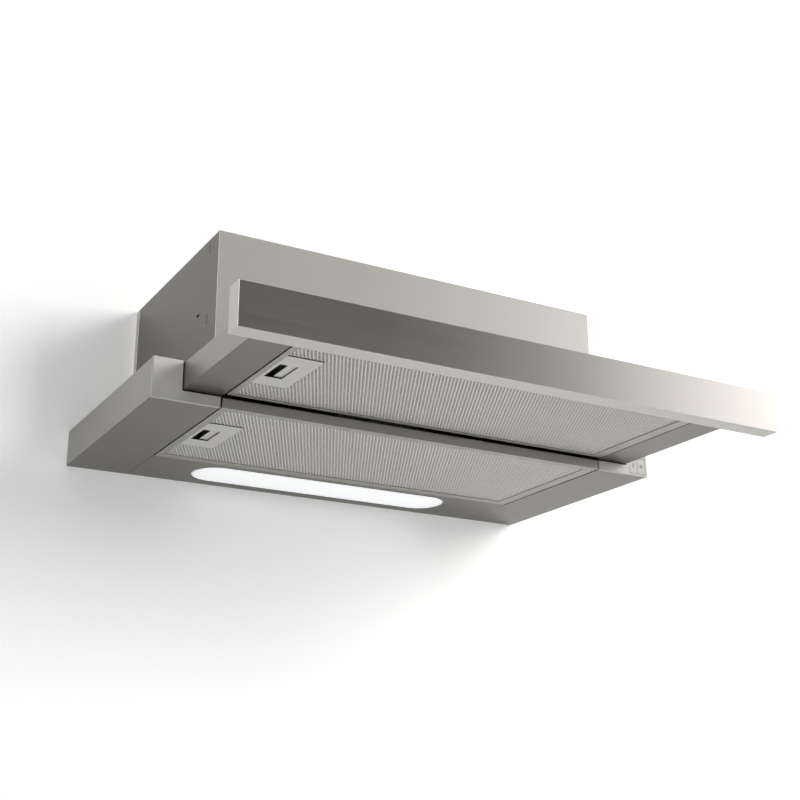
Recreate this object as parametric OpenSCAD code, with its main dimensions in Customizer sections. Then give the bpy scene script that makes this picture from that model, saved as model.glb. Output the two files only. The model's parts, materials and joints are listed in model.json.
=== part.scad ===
// Built-in telescopic range hood, 60 cm wide, drawn with its drawer pulled out.
// X runs across the hood, Y runs back to the wall at Y = 0, Z runs up from the underside at Z = 0.

/* [Frame] */
// Width across both arms
hood_w = 600; // [560:5:900]
// Depth from the wall to the front of the arms
frame_d = 280; // [275:5:330]
// Height of the arms
arm_h = 41; // [40:1:50]
// Width of the tall part of an arm
arm_w = 30; // [28:1:40]
// Width of the low foot along the inside of an arm
foot_w = 40; // [38:1:50]
// Height of the foot
foot_h = 10.5; // [10.5:0.5:13]
// Thickness of the folded steel sheets
sheet_t = 1; // [0.8:0.1:1.2]
// Depth of the rear strip that holds the lamp
strip_d = 87; // [84:1:100]

/* [Arm caps] */
// Thickness of a cap in front of its arm
cap_t = 4; // [3:0.5:6]
// Length of the plug that goes into the arm
plug_l = 16; // [12:1:20]
// Radius of the cap's outer upright edge
cap_round = 1; // [0.5:0.5:3]
// Radius of the upright edge at the end of the cap's foot
cap_foot_round = 1; // [0.5:0.5:1.5]
// Width of the window for the buttons
window_w = 23.6; // [20:0.2:24]
// Height of the cap left above and below that window
window_rim = 2; // [2:0.5:5]
// Travel of a button
button_travel = 1.5; // [1:0.1:2]

/* [Drawer] */
// How far the drawer slides
travel = 185; // [160:5:190]
// Height of the fascia
fascia_h = 42.2; // [40:0.2:50]
// Depth of the fascia
fascia_d = 20; // [16:1:26]
// How far the fascia hangs below the arms
fascia_drop = 0.8; // [0:0.1:1.5]
// Wall of a drawer side channel
channel_t = 1.2; // [1:0.1:1.5]
// How far a side channel reaches in past the foot
channel_over = 1.4; // [0.5:0.1:2]
// Gap between a side channel and its arm
channel_gap = 1.2; // [0.8:0.1:1.6]

/* [Filters] */
// Height of a filter cassette
filter_h = 10.2; // [9.6:0.1:10.3]
// Sheet of the cassette frames
frame_sheet = 0.8; // [0.6:0.1:1]
// Border of the frame at the latch end
border_left = 8; // [6:0.5:12]
// Border of the frame at the hinge end
border_right = 13.5; // [8:0.5:18]
// Border of the frame at the front
border_front = 9; // [6:0.5:14]
// Border of the frame at the rear
border_rear = 12.5; // [6:0.5:16]
// Border of the upper filter at its latch end
upper_border_left = 6; // [5:0.5:12]
// Rear border of the upper filter
upper_border_rear = 4; // [3:0.5:10]
// Pleats in the pad inside a cassette
pleats = 28; // [10:1:40]
// Columns of gaps in a mesh sheet
mesh_columns = 22; // [8:1:24]
// Rows of gaps in a mesh sheet
mesh_rows = 6; // [3:1:6]
// Width of the strands between the gaps
strand_w = 3; // [2:0.5:5]

/* [Latches] */
// Width of a latch plate
latch_w = 37; // [34:1:44]
// Length of a latch plate
latch_l = 82; // [60:1:90]
// Width of the finger cup
cup_w = 18.3; // [16:0.1:20]
// Length of the finger cup
cup_l = 36.5; // [30:0.5:42]

/* [Lamp] */
// Length of the lamp lens
lens_l = 328; // [280:2:340]
// Width of the lamp lens
lens_w = 60; // [50:1:64]
// Radius of the lamp tube
tube_r = 8; // [6:0.5:10]

/* [Casing] */
// Distance from the left arm's inner face to the motor casing
casing_left_gap = 40; // [34:1:60]
// Distance from the motor casing to the right arm's inner face
casing_right_gap = 27; // [20:1:45]
// Distance from the front of the arms to the motor casing
casing_front_gap = 24; // [20:1:30]
// Height of the motor casing above the arms
casing_h = 158.5; // [156:0.5:220]
// Distance between the two slots on each side
slot_pitch = 79.5; // [60:0.5:100]
// Length of a side slot
slot_l = 10.5; // [8:0.5:16]
// Width of a side slot
slot_w = 2.4; // [2:0.1:4]

/* [Duct] */
// Outer radius of the duct collar
collar_r = 60; // [55:1:62]
// Wall of the duct collar
collar_t = 2.5; // [2:0.1:3]
// Height of the collar above its flange
collar_h = 31.5; // [26:0.5:40]
// Distance from the wall to the collar's centre
collar_y = 100; // [92:1:108]

/* [Blower] */
// Radius of the impeller
impeller_r = 52; // [44:1:54]
// Width of the impeller
impeller_w = 84; // [60:2:88]
// Number of impeller blades
blades = 36; // [20:1:40]
// Radius of the motor
motor_r = 33; // [26:1:35]
// Radius of the motor shaft
shaft_r = 3; // [2:0.5:4]
// Wall of the blower housing
volute_t = 2; // [1.5:0.1:3]

/* [Hidden] */
$fn = 48;
// Overrun of every cut
cut = 2;
// Running clearance around a shaft or a spindle
fit = 0.06;
// Gap between neighbouring pieces
gap = 0.3;

// Frame, worked out
arm_out = hood_w / 2;
arm_in = arm_out - arm_w;
foot_in = arm_in - foot_w;
plate_z = arm_h - sheet_t;
aperture_side = 26;
aperture_front = 22;
aperture_rear = 18;

// Drawer, worked out
shut_gap = 0.5;
fascia_back = -frame_d - shut_gap - travel;
fascia_front = fascia_back - fascia_d;
back_plate_t = 1.5;
channel_in = foot_in - channel_over;
channel_out = arm_in - channel_gap;
channel_lift = 1.1;
channel_head = 0.6;
channel_z = [foot_h + channel_lift, plate_z - channel_head];
channel_short = 30;
channel_y = [fascia_back, fascia_back + frame_d - channel_short];
cover_t = 1;
cover_drop = 0.2;
cover_clear = 4;
cover_rear = -frame_d - cover_clear;
cover_z = [channel_z[1] - cover_drop - cover_t, channel_z[1] - cover_drop];
cover_fold = 6;
fascia_screw_r = 2;
fascia_screw_hole_r = 2.1;
fascia_head_r = 3.8;
fascia_head_t = 2;
fascia_screw_in = 8;
fascia_screw_z = [channel_z[0] + fascia_screw_in, channel_z[1] - fascia_screw_in];
fascia_screw_x = (channel_in + channel_out) / 2;

// Slides: three nested rails in each side channel
rail_t = 1.2;
glide_space = 1.6;
rail_step = rail_t + glide_space;
rail_inset = 1.6;
rail_back_gap = 0.8;
rail_depth = 8.2;
rail_margin = 4;
slide_x = channel_in + channel_t;
middle_web = slide_x + rail_depth + rail_back_gap;
fixed_web = middle_web + rail_t + rail_back_gap;
middle_lip_gap = 2.7;
middle_lip = slide_x + middle_lip_gap;
fixed_lip = middle_lip + rail_back_gap;
rail_z = [channel_z[0] + channel_t + rail_inset, channel_z[1] - rail_inset];
rail_l = frame_d - channel_short - 2 * rail_margin;
rail_y_shut = [-frame_d + rail_margin, -frame_d + rail_margin + rail_l];
hanger_w = 14;
glide_l = 14;

// Filters, worked out
filter_gap = 0.4;
latch_gap = 1.6;
hinge_gap = 2;
tongue_gap = 0.4;
pin_r = 1;
pin_in = 2.6;
pin_z = 3.8;
tab_t = 0.8;
tab_l = 20;
tab_share = 0.2;
slot_down = 2.6;
slot_up = 2;
slot_play = 1;
catch_l = 22;
catch_z = [5.8, 8.8];
lower_latch_shift = -1.5;
upper_latch_shift = 5;
upper_rear_gap = 6.5;
lower_x = [-foot_in + latch_gap, foot_in - hinge_gap];
lower_y = [-frame_d, -strip_d - filter_gap];
lower_z = 0;
upper_x = [-channel_in + latch_gap, channel_in - hinge_gap];
upper_y = [fascia_back + filter_gap, -frame_d - upper_rear_gap];
upper_z = channel_z[0];
lower_borders = [border_left, border_right, border_front, border_rear];
upper_borders = [upper_border_left, border_right, border_front, upper_border_rear];
top_border = 6;
pad_t = 0.8;

// Latches, worked out
tray_wall = 1.2;
tray_floor = 1;
tray_lift = 0.1;
tray_h = 9;
cup_inset = 3.2;
slider_t = 1.5;
slider_w = 19;
slider_z = 6.3;
tab_z = 1.4;
spring_r = 2;
wire_r = 0.35;
spring_turns = 7;
spring_z = 5.6;
spring_turn_steps = 8;
spring_gap = 0.1;
wire_sides = 6;
tab_hold = 2;
lower_tray = tray_of(lower_x, lower_borders);
upper_tray = tray_of(upper_x, upper_borders);
lower_mid = latch_mid(lower_y, lower_latch_shift);
upper_mid = latch_mid(upper_y, upper_latch_shift);

// Lamp, worked out
lens_shift = -4.7;
lens_y = -48;
lens_t = 1.2;
lens_lip = 3;
lens_proud = 0.3;
lens_gap = 0.5;
tray_end = 8;
tray_t = 1;
tray_over = 1;
tube_z = 18;
tray_top = tube_z + tube_r + tray_over + tray_t;
tube_end = 22;
tube_x = [lens_shift - lens_l / 2 + tube_end, lens_shift + lens_l / 2 - tube_end];
holder_t = 10;
holder_w = 20;
tube_pin_r = 1.2;
tube_pin_l = 6;
tube_pin_pitch = 5;
strip_lip_h = foot_h - 2 * gap;

// Casing, worked out
casing_x = [-arm_in + casing_left_gap, arm_in - casing_right_gap];
casing_d = frame_d - casing_front_gap;
casing_top_z = arm_h + casing_h;
roof_z = casing_top_z - sheet_t;
back_lip = 9;
groove = 1;
lap = 22;
flange_w = 12;
slot_in = 25;
slot_y = -casing_d + slot_in;
slot_top_gap = 11.5;
slot_z = [casing_top_z - slot_top_gap - slot_pitch, casing_top_z - slot_top_gap];
vent_in = 44;
vent_l = 11;
vent_y = [-casing_d + vent_in, -casing_d + vent_in + vent_l];
vent_drop = 80.5;
vent_h = 5;
dot_in = 33;
dot_y = -casing_d + dot_in;
dot_drop = 117.5;
dot_r = 1;
screw_r = 1.5;
screw_hole_r = 1.6;
screw_l = 8;
head_r = 3.2;
head_t = 2;
screw_inset = 6.5;
screw_shares = [0.08, 0.5, 0.94];

// Duct collar and flaps, worked out
duct_x = (casing_x[0] + casing_x[1]) / 2;
duct_c = [duct_x, -collar_y];
collar_flange_w = 12;
collar_flange_r = collar_r + collar_flange_w;
collar_flange_t = 2.5;
collar_screws = 4;
collar_screw_r = collar_r + collar_flange_w / 2;
collar_z = [casing_top_z, casing_top_z + collar_flange_t + collar_h];
duct_r = collar_r - collar_t;
ledge_w = 3;
ledge_t = 2.5;
flap_lift = 12;
flap_z = casing_top_z + flap_lift;
flap_t = 1.4;
flap_gap = 0.7;
spindle_r = 1.5;
spindle_x = 4.5;
spindle_short = 0.7;
bridge_w = 4;
bridge_h = 7;

// Blower, worked out
blower_drop = 75;
blower_ahead = 22;
blower_c = [-casing_d / 2 - blower_ahead, casing_top_z - blower_drop];
tongue_a = 60;
scroll_gap = 6;
scroll_growth = 20;
scroll_steps = 30;
tongue_r = impeller_r + scroll_gap;
mouth_y = [blower_c[0] + tongue_r * cos(tongue_a), blower_c[0] + tongue_r + scroll_growth];
adapter_h = 16;
mouth_z = roof_z - adapter_h;
volute_side_gap = 6;
volute_half = impeller_w / 2 + volute_side_gap + volute_t;
inlet_margin = 10;
inlet_r = impeller_r - inlet_margin;
adapter_flange_t = 2;
adapter_slab = 1;
adapter_sides = 32;
blade_w = 10;
blade_margin = 1;
blade_out = impeller_r - blade_margin;
blade_in = blade_out - blade_w;
blade_t = 1.2;
blade_lean = 25;
ring_w = 7;
ring_t = 2;
disc_t = 2;
hub_r = 8;
hub_l = 18;
motor_l = 54;
motor_end = 10;
bearing_r = 6;
bearing_l = 6;
shaft_tail = 2;
bracket_arms = 3;
bracket_turn = 30;
bracket_ring = 4;
bracket_l = 8;
bracket_t = 3;
arm_bar_w = 10;
bush_r = 5;
bush_l = 5;
bush_margin = 7;
bush_at = inlet_r + bush_margin;
bush_screw_r = 1.8;
bush_hole_r = 1.9;
bush_head_r = 4;
bush_head_t = 2.5;
bar_x = [volute_half + bush_l, volute_half + bush_l + bracket_t];
motor_x = [motor_end, motor_end + motor_l];

// Electrics, worked out
capacitor_r = 17;
capacitor_l = 58;
stud_r = 4;
stud_l = 3;
capacitor_gap = 41.5;
capacitor_in = 56;
capacitor_x = duct_x + volute_half + capacitor_gap + capacitor_r;
capacitor_y = -casing_d + capacitor_in;
power_size = [85, 80, 45];
power_side = 20;
power_rear = 50;
power_at = [casing_x[1] - power_side, -power_rear];
power_lid_t = 3;
power_lid_lip = 2;
gland_side = 62;
gland_rear = 26;
gland_at = [casing_x[1] - gland_side, -gland_rear];
gland_bore = 3.7;
gland_thread_r = 8;
gland_flange_r = 11;
gland_flange_t = 3;
gland_dome_r = 9;
gland_dome_h = 9;
gland_nut_t = 4;
gland_thread_l = 7;
gland_hole_r = 8.1;
switch_in = 12;
switch_w = 10;
switch_l = 26;
switch_h = 11;
plunger_r = 1.5;
plunger_out = 3;
plunger_in = 8;
plunger_travel = 2.5;
plunger_drop = 5;
plunger_stop = 0.4;
switch_x = [-channel_in + switch_in, -channel_in + switch_in + switch_w];
switch_front = cover_rear + travel + plunger_stop + plunger_out;
plunger_at = [(switch_x[0] + switch_x[1]) / 2, plate_z - plunger_drop];

// Arm caps and buttons, worked out
plug_gap = 0.1;
plug_t = 2;
window_shift = 0.4;
window_mid = arm_in + arm_w / 2 + window_shift;
window_x = [window_mid - window_w / 2, window_mid + window_w / 2];
window_h = arm_h - 2 * window_rim;
window_z = [window_rim, arm_h - window_rim];
button_gap = 0.3;
button_back = 0.4;
button_t = cap_t - button_travel - button_back;
button_size = [(window_w - 3 * button_gap) / 2, (window_h - 3 * button_gap) / 2];
stem_r = 2;
board_t = 1.6;
board_inset = 1.4;
board_gap = 0.3;
key_w = 6;
key_t = 4;
key_gap = 0.4;
board_y = -frame_d + cap_t + plug_l - board_inset - board_t;
stem_y = [-frame_d + button_t, board_y - key_t - button_travel - key_gap];

// Shared shapes

module block(x, y, z)
    translate([x[0], y[0], z[0]])
        cube([x[1] - x[0], y[1] - y[0], z[1] - z[0]]);

module area(x, y)
    translate([x[0], y[0]])
        square([x[1] - x[0], y[1] - y[0]]);

module along_x(x)
    translate([x[0], 0, 0])
        rotate([90, 0, 90])
            linear_extrude(x[1] - x[0])
                children();

module along_y(y)
    translate([0, y[1], 0])
        rotate([90, 0, 0])
            linear_extrude(y[1] - y[0])
                children();

module along_z(z)
    translate([0, 0, z[0]])
        linear_extrude(z[1] - z[0])
            children();

module rod_x(r, x, y, z)
    translate([x[0], y, z])
        rotate([0, 90, 0])
            cylinder(r = r, h = x[1] - x[0]);

module rod_y(r, x, y, z)
    translate([x, y[1], z])
        rotate([90, 0, 0])
            cylinder(r = r, h = y[1] - y[0]);

module rod_z(r, x, y, z)
    translate([x, y, z[0]])
        cylinder(r = r, h = z[1] - z[0]);

module left()
    mirror([1, 0, 0])
        children();

// Frame

module arm_section(inset)
    polygon([
        [foot_in + inset, inset],
        [arm_out - inset, inset],
        [arm_out - inset, arm_h - inset],
        [arm_in + inset, arm_h - inset],
        [arm_in + inset, foot_h - inset],
        [foot_in + inset, foot_h - inset]
    ]);

// A sheet profile with a tall outer part and a low foot, shut at the wall
module arm_shell()
    difference() {
        along_y([-frame_d + cap_t, 0]) arm_section(0);
        along_y([-frame_d + cap_t - cut, -sheet_t]) arm_section(sheet_t);
    }

// Slots that take the hinge tabs of a filter, in the wall at wall_x
module hinge_slots(wall_x, wall_t, y, z0)
    for (share = [tab_share, 1 - tab_share])
        let (mid = y[0] + share * (y[1] - y[0]))
            block(
                [wall_x - cut, wall_x + wall_t + cut],
                [mid - tab_l / 2 - slot_play, mid + tab_l / 2 + slot_play],
                [z0 + pin_z - slot_down, z0 + pin_z + slot_up]
            );

// Slot that the latch tongue points at, on the latch side
module catch_slot(wall_x, wall_t, mid, z0)
    block(
        [wall_x - cut, wall_x + wall_t + cut],
        [mid - catch_l / 2, mid + catch_l / 2],
        [z0 + catch_z[0], z0 + catch_z[1]]
    );

module left_arm()
    color("silver")
        left()
            difference() {
                arm_shell();
                catch_slot(foot_in, sheet_t, lower_mid, lower_z);
            }

module right_arm()
    color("silver")
        difference() {
            arm_shell();
            hinge_slots(foot_in, sheet_t, lower_y, lower_z);
        }

// Front plate of a cap, with both upright edges rounded
module cap_front()
    intersection() {
        along_y([-frame_d, -frame_d + cap_t]) arm_section(0);
        along_z([0, arm_h]) {
            area([foot_in + cap_foot_round, arm_out - cap_round], [-frame_d, -frame_d + cap_t]);
            area([foot_in, foot_in + cap_foot_round], [-frame_d + cap_foot_round, -frame_d + cap_t]);
            translate([foot_in + cap_foot_round, -frame_d + cap_foot_round]) circle(r = cap_foot_round);
            area([arm_out - cap_round, arm_out], [-frame_d + cap_round, -frame_d + cap_t]);
            translate([arm_out - cap_round, -frame_d + cap_round]) circle(r = cap_round);
        }
    }

// Sleeve behind the front plate that fits inside the arm
module cap_plug()
    difference() {
        along_y([-frame_d + cap_t, -frame_d + cap_t + plug_l]) arm_section(sheet_t + plug_gap);
        along_y([-frame_d + cap_t - cut, -frame_d + cap_t + plug_l + cut])
            arm_section(sheet_t + plug_gap + plug_t);
    }

module left_arm_cap()
    color("gainsboro")
        left() {
            cap_front();
            cap_plug();
        }

module control_panel()
    color("gainsboro") {
        difference() {
            cap_front();
            block(window_x, [-frame_d - cut, -frame_d + cap_t + cut], window_z);
        }
        cap_plug();
    }

// Plate between the arms, open under the casing
module frame_top_plate()
    color("silver")
        along_z([plate_z, arm_h])
            difference() {
                area([-arm_in, arm_in], [-frame_d, 0]);
                area(
                    [casing_x[0] + aperture_side, casing_x[1] - aperture_side],
                    [-casing_d + aperture_front, -aperture_rear]
                );
            }

module lens_area(grow)
    let (r = lens_w / 2 + grow, reach = lens_l / 2 - lens_w / 2) {
        translate([lens_shift - reach, lens_y]) circle(r = r);
        translate([lens_shift + reach, lens_y]) circle(r = r);
        area([lens_shift - reach, lens_shift + reach], [lens_y - r, lens_y + r]);
    }

// Rear strip that holds the lamp, folded up at the front and at the wall
module rear_tray()
    color("silver") {
        difference() {
            block([-foot_in, foot_in], [-strip_d, 0], [0, sheet_t]);
            along_z([-cut, sheet_t + cut]) lens_area(0);
        }
        block([-foot_in, foot_in], [-strip_d, -strip_d + sheet_t], [0, strip_lip_h]);
        block([-foot_in, foot_in], [-sheet_t, 0], [0, foot_h]);
        block([-arm_in, arm_in], [-sheet_t, 0], [foot_h, plate_z]);
    }

// Lamp

module lamp_lens()
    color("white") {
        along_z([-lens_proud, sheet_t]) lens_area(-lens_gap);
        along_z([sheet_t, sheet_t + lens_t]) lens_area(lens_lip);
    }

module lamp_reflector()
    let (end = lens_l / 2 + tray_end, side = lens_w / 2 + lens_lip + gap)
        color("whitesmoke")
            difference() {
                block(
                    [lens_shift - end, lens_shift + end],
                    [lens_y - side - tray_t, lens_y + side + tray_t],
                    [sheet_t, tray_top]
                );
                block(
                    [lens_shift - end + tray_t, lens_shift + end - tray_t],
                    [lens_y - side, lens_y + side],
                    [sheet_t - cut, tray_top - tray_t]
                );
            }

// Tube with a pair of pins at each end
module lamp_tube()
    color("white") {
        rod_x(tube_r, tube_x, lens_y, tube_z);
        for (side = [-1, 1])
            rod_x(tube_pin_r, [tube_x[0] - tube_pin_l, tube_x[1] + tube_pin_l],
                lens_y, tube_z + side * tube_pin_pitch / 2);
    }

module lamp_holder(x)
    difference() {
        block(x, [lens_y - holder_w / 2, lens_y + holder_w / 2], [tube_z - tube_r, tray_top - tray_t]);
        for (side = [-1, 1])
            rod_x(tube_pin_r + fit, [tube_x[0] - tube_pin_l - fit, tube_x[1] + tube_pin_l + fit],
                lens_y, tube_z + side * tube_pin_pitch / 2);
    }

module lamp_holders()
    color("dimgray") {
        lamp_holder([tube_x[0] - gap - holder_t, tube_x[0] - gap]);
        lamp_holder([tube_x[1] + gap, tube_x[1] + gap + holder_t]);
    }

// Casing

module rounded_slot(x, z)
    let (half = slot_l / 2 - slot_w / 2) {
        rod_x(slot_w / 2, x, slot_y, z - half);
        rod_x(slot_w / 2, x, slot_y, z + half);
        block(x, [slot_y - slot_w / 2, slot_y + slot_w / 2], [z - half, z + half]);
    }

// Slots, a lanced catch and a dimple in one side wall
module side_cuts(x) {
    rounded_slot(x, slot_z[0]);
    rounded_slot(x, slot_z[1]);
    along_x(x)
        polygon([
            [vent_y[0], casing_top_z - vent_drop + vent_h / 2],
            [vent_y[1], casing_top_z - vent_drop],
            [vent_y[1], casing_top_z - vent_drop + vent_h]
        ]);
    rod_x(dot_r, x, dot_y, casing_top_z - dot_drop);
}

module screw_places()
    for (share = screw_shares, x = [casing_x[0] + screw_inset, casing_x[1] - screw_inset])
        translate([x, -casing_d + share * casing_d, 0])
            children();

module collar_places()
    for (corner = [0 : collar_screws - 1])
        translate([duct_c[0], duct_c[1], 0])
            rotate([0, 0, 360 / collar_screws * (corner + 1 / 2)])
                translate([collar_screw_r, 0, 0])
                    children();

// Front and sides in one sheet, with flanges turned in at the top and the bottom
module casing_shell()
    color("silver")
        difference() {
            union() {
                along_z([arm_h, roof_z]) casing_ring(sheet_t);
                along_z([arm_h, arm_h + sheet_t]) casing_ring(flange_w);
                along_z([roof_z - sheet_t, roof_z]) casing_ring(flange_w);
            }
            side_cuts([casing_x[0] - cut, casing_x[0] + sheet_t + cut]);
            side_cuts([casing_x[1] - sheet_t - cut, casing_x[1] + cut]);
            screw_places() rod_z(screw_hole_r, 0, 0, [roof_z - sheet_t - cut, roof_z + cut]);
        }

module casing_ring(t)
    difference() {
        area(casing_x, [-casing_d, -back_lip - groove]);
        area([casing_x[0] + t, casing_x[1] - t], [-casing_d + t, cut]);
    }

module casing_back()
    color("silver") {
        block(casing_x, [-sheet_t, 0], [arm_h, roof_z]);
        for (x = [casing_x[0], casing_x[1] - sheet_t])
            block([x, x + sheet_t], [-back_lip, 0], [arm_h, roof_z]);
        for (x = [casing_x[0] + sheet_t, casing_x[1] - 2 * sheet_t])
            block([x, x + sheet_t], [-lap, 0], [arm_h + sheet_t + gap, roof_z - sheet_t - gap]);
    }

module casing_roof()
    color("silver")
        difference() {
            block(casing_x, [-casing_d, 0], [roof_z, casing_top_z]);
            rod_z(duct_r, duct_c[0], duct_c[1], [roof_z - cut, casing_top_z + cut]);
            rod_z(gland_hole_r, gland_at[0], gland_at[1], [roof_z - cut, casing_top_z + cut]);
            screw_places() rod_z(screw_hole_r, 0, 0, [roof_z - cut, casing_top_z + cut]);
            collar_places() rod_z(screw_hole_r, 0, 0, [roof_z - cut, casing_top_z + cut]);
        }

module top_screw(z)
    union() {
        rod_z(screw_r, 0, 0, [z - screw_l, z]);
        rod_z(head_r, 0, 0, [z, z + head_t]);
    }

module roof_screws()
    color("gray") {
        screw_places() top_screw(casing_top_z);
        collar_places() top_screw(casing_top_z + collar_flange_t);
    }

// Duct collar and its two flaps

module collar_ring(r_out, r_in, z)
    along_z(z)
        translate(duct_c)
            difference() {
                circle(r = r_out);
                circle(r = r_in);
            }

module duct_collar()
    color("dimgray")
        difference() {
            union() {
                collar_ring(collar_flange_r, duct_r, [casing_top_z, casing_top_z + collar_flange_t]);
                collar_ring(collar_r, duct_r, collar_z);
                collar_ring(collar_r - collar_t / 2, duct_r - ledge_w,
                    [flap_z - flap_t / 2 - gap - ledge_t, flap_z - flap_t / 2 - gap]);
                block(
                    [duct_x - bridge_w / 2, duct_x + bridge_w / 2],
                    [-collar_y - collar_r + collar_t / 2, -collar_y + collar_r - collar_t / 2],
                    [flap_z - bridge_h / 2, flap_z + bridge_h / 2]
                );
            }
            for (side = [-1, 1]) {
                rod_y(spindle_r + fit, duct_x + side * spindle_x,
                    [-collar_y - collar_r - cut, -collar_y + collar_r + cut], flap_z);
                rod_y(spindle_r + gap, duct_x + side * spindle_x,
                    [-collar_y - duct_r + gap, -collar_y + duct_r - gap], flap_z);
            }
            collar_places()
                rod_z(screw_hole_r, 0, 0, [casing_top_z - cut, casing_top_z + collar_flange_t + cut]);
        }

// Half disc on a spindle; side is 1 for the right flap
module flap(side)
    union() {
        along_z([flap_z - flap_t / 2, flap_z + flap_t / 2])
            intersection() {
                translate(duct_c) circle(r = duct_r - flap_gap);
                area(
                    side > 0
                        ? [duct_x + spindle_x, duct_x + collar_r]
                        : [duct_x - collar_r, duct_x - spindle_x],
                    [-collar_y - collar_r, -collar_y + collar_r]
                );
            }
        rod_y(spindle_r, duct_x + side * spindle_x,
            [-collar_y - collar_r + spindle_short, -collar_y + collar_r - spindle_short], flap_z);
    }

module flap_left() color("gray") flap(-1);

module flap_right() color("gray") flap(1);

// Square to round piece between the blower mouth and the roof
module adapter_form(grow, low, high)
    hull() {
        along_z(low)
            area(
                [duct_x - volute_half - grow, duct_x + volute_half + grow],
                [mouth_y[0] - volute_t - grow, mouth_y[1] + volute_t + grow]
            );
        along_z(high)
            translate(duct_c)
                circle(r = duct_r + volute_t + grow, $fn = adapter_sides);
    }

module outlet_adapter()
    color("gainsboro")
        difference() {
            union() {
                adapter_form(0, [mouth_z, mouth_z + adapter_slab],
                    [roof_z - adapter_flange_t - adapter_slab, roof_z - adapter_flange_t]);
                rod_z(collar_flange_r, duct_c[0], duct_c[1], [roof_z - adapter_flange_t, roof_z]);
            }
            adapter_form(-volute_t, [mouth_z - adapter_slab, mouth_z + adapter_slab],
                [roof_z - adapter_flange_t - adapter_slab, roof_z - adapter_flange_t + adapter_slab]);
            rod_z(duct_r, duct_c[0], duct_c[1], [roof_z - adapter_flange_t, roof_z + cut]);
            collar_places()
                rod_z(screw_hole_r, 0, 0, [roof_z - adapter_flange_t - cut, roof_z + cut]);
        }

// Blower

function scroll_reach(a) = tongue_r + scroll_growth * (a - tongue_a) / (360 - tongue_a);

// Side view of the blower housing, grown by its wall
module scroll_area(grow, top) {
    polygon([
        for (i = [0 : scroll_steps])
            let (a = tongue_a + (360 - tongue_a) * i / scroll_steps)
                blower_c + (scroll_reach(a) + grow) * [cos(a), sin(a)],
        blower_c
    ]);
    area([blower_c[0], mouth_y[1] + grow], [blower_c[1], blower_c[1] + tongue_r * sin(tongue_a)]);
    area([mouth_y[0] - grow, mouth_y[1] + grow], [blower_c[1], top]);
}

// One half of the housing; side is -1 for the motor's side
module volute_half_shell(side)
    translate([duct_x, 0, 0])
        mirror([side > 0 ? 0 : 1, 0, 0])
            difference() {
                along_x([0, volute_half]) scroll_area(volute_t, mouth_z);
                along_x([-cut, volute_half - volute_t]) scroll_area(0, mouth_z + cut);
                rod_x(inlet_r, [volute_half - volute_t - cut, volute_half + cut], blower_c[0], blower_c[1]);
                if (side < 0)
                    bush_places()
                        rod_x(bush_hole_r, [volute_half - volute_t - cut, volute_half + cut], 0, 0);
            }

module bush_places()
    translate([0, blower_c[0], blower_c[1]])
        for (i = [0 : bracket_arms - 1])
            rotate([360 / bracket_arms * i + bracket_turn, 0, 0])
                translate([0, bush_at, 0])
                    children();

module volute_left() color("whitesmoke") volute_half_shell(-1);

module volute_right() color("whitesmoke") volute_half_shell(1);

// Pieces on the motor's side, laid out from the housing's side wall outwards
module motor_side()
    translate([duct_x, 0, 0])
        mirror([1, 0, 0])
            children();

module motor_body()
    color("dimgray")
        motor_side()
            difference() {
                rod_x(motor_r, motor_x, blower_c[0], blower_c[1]);
                rod_x(shaft_r + gap, motor_x, blower_c[0], blower_c[1]);
                rod_x(bearing_r, [motor_x[0] - cut, motor_x[0] + bearing_l], blower_c[0], blower_c[1]);
                rod_x(bearing_r, [motor_x[1] - bearing_l, motor_x[1] + cut], blower_c[0], blower_c[1]);
            }

module motor_bearings()
    color("goldenrod")
        motor_side()
            difference() {
                union() {
                    rod_x(bearing_r, [motor_x[0], motor_x[0] + bearing_l], blower_c[0], blower_c[1]);
                    rod_x(bearing_r, [motor_x[1] - bearing_l, motor_x[1]], blower_c[0], blower_c[1]);
                }
                rod_x(shaft_r + fit, [motor_x[0] - cut, motor_x[1] + cut], blower_c[0], blower_c[1]);
            }

module motor_shaft()
    color("lightgray")
        motor_side()
            rod_x(shaft_r, [-hub_l / 2, motor_x[1] + shaft_tail], blower_c[0], blower_c[1]);

// Ring round the motor with three arms out to the housing's side wall
module motor_bracket()
    color("gray")
        motor_side()
            difference() {
                union() {
                    rod_x(
                        motor_r + fit + bracket_ring,
                        [bar_x[1] - bracket_l, bar_x[1]],
                        blower_c[0],
                        blower_c[1]
                    );
                    translate([0, blower_c[0], blower_c[1]])
                        for (i = [0 : bracket_arms - 1])
                            rotate([360 / bracket_arms * i + bracket_turn, 0, 0])
                                block(
                                    bar_x,
                                    [motor_r + bracket_ring / 2, bush_at + bush_r],
                                    [-arm_bar_w / 2, arm_bar_w / 2]
                                );
                }
                rod_x(
                    motor_r + fit,
                    [bar_x[0] - bracket_l - cut, bar_x[1] + cut],
                    blower_c[0],
                    blower_c[1]
                );
                bush_places() rod_x(bush_hole_r, [bar_x[0] - cut, bar_x[1] + cut], 0, 0);
            }

module motor_bushes()
    color("black")
        motor_side()
            bush_places()
                difference() {
                    rod_x(bush_r, [volute_half, bar_x[0]], 0, 0);
                    rod_x(bush_hole_r, [volute_half - cut, bar_x[0] + cut], 0, 0);
                }

module motor_screws()
    color("silver")
        motor_side()
            bush_places() {
                rod_x(bush_screw_r, [volute_half - volute_t, bar_x[1]], 0, 0);
                rod_x(bush_head_r, [bar_x[1], bar_x[1] + bush_head_t], 0, 0);
            }

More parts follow.
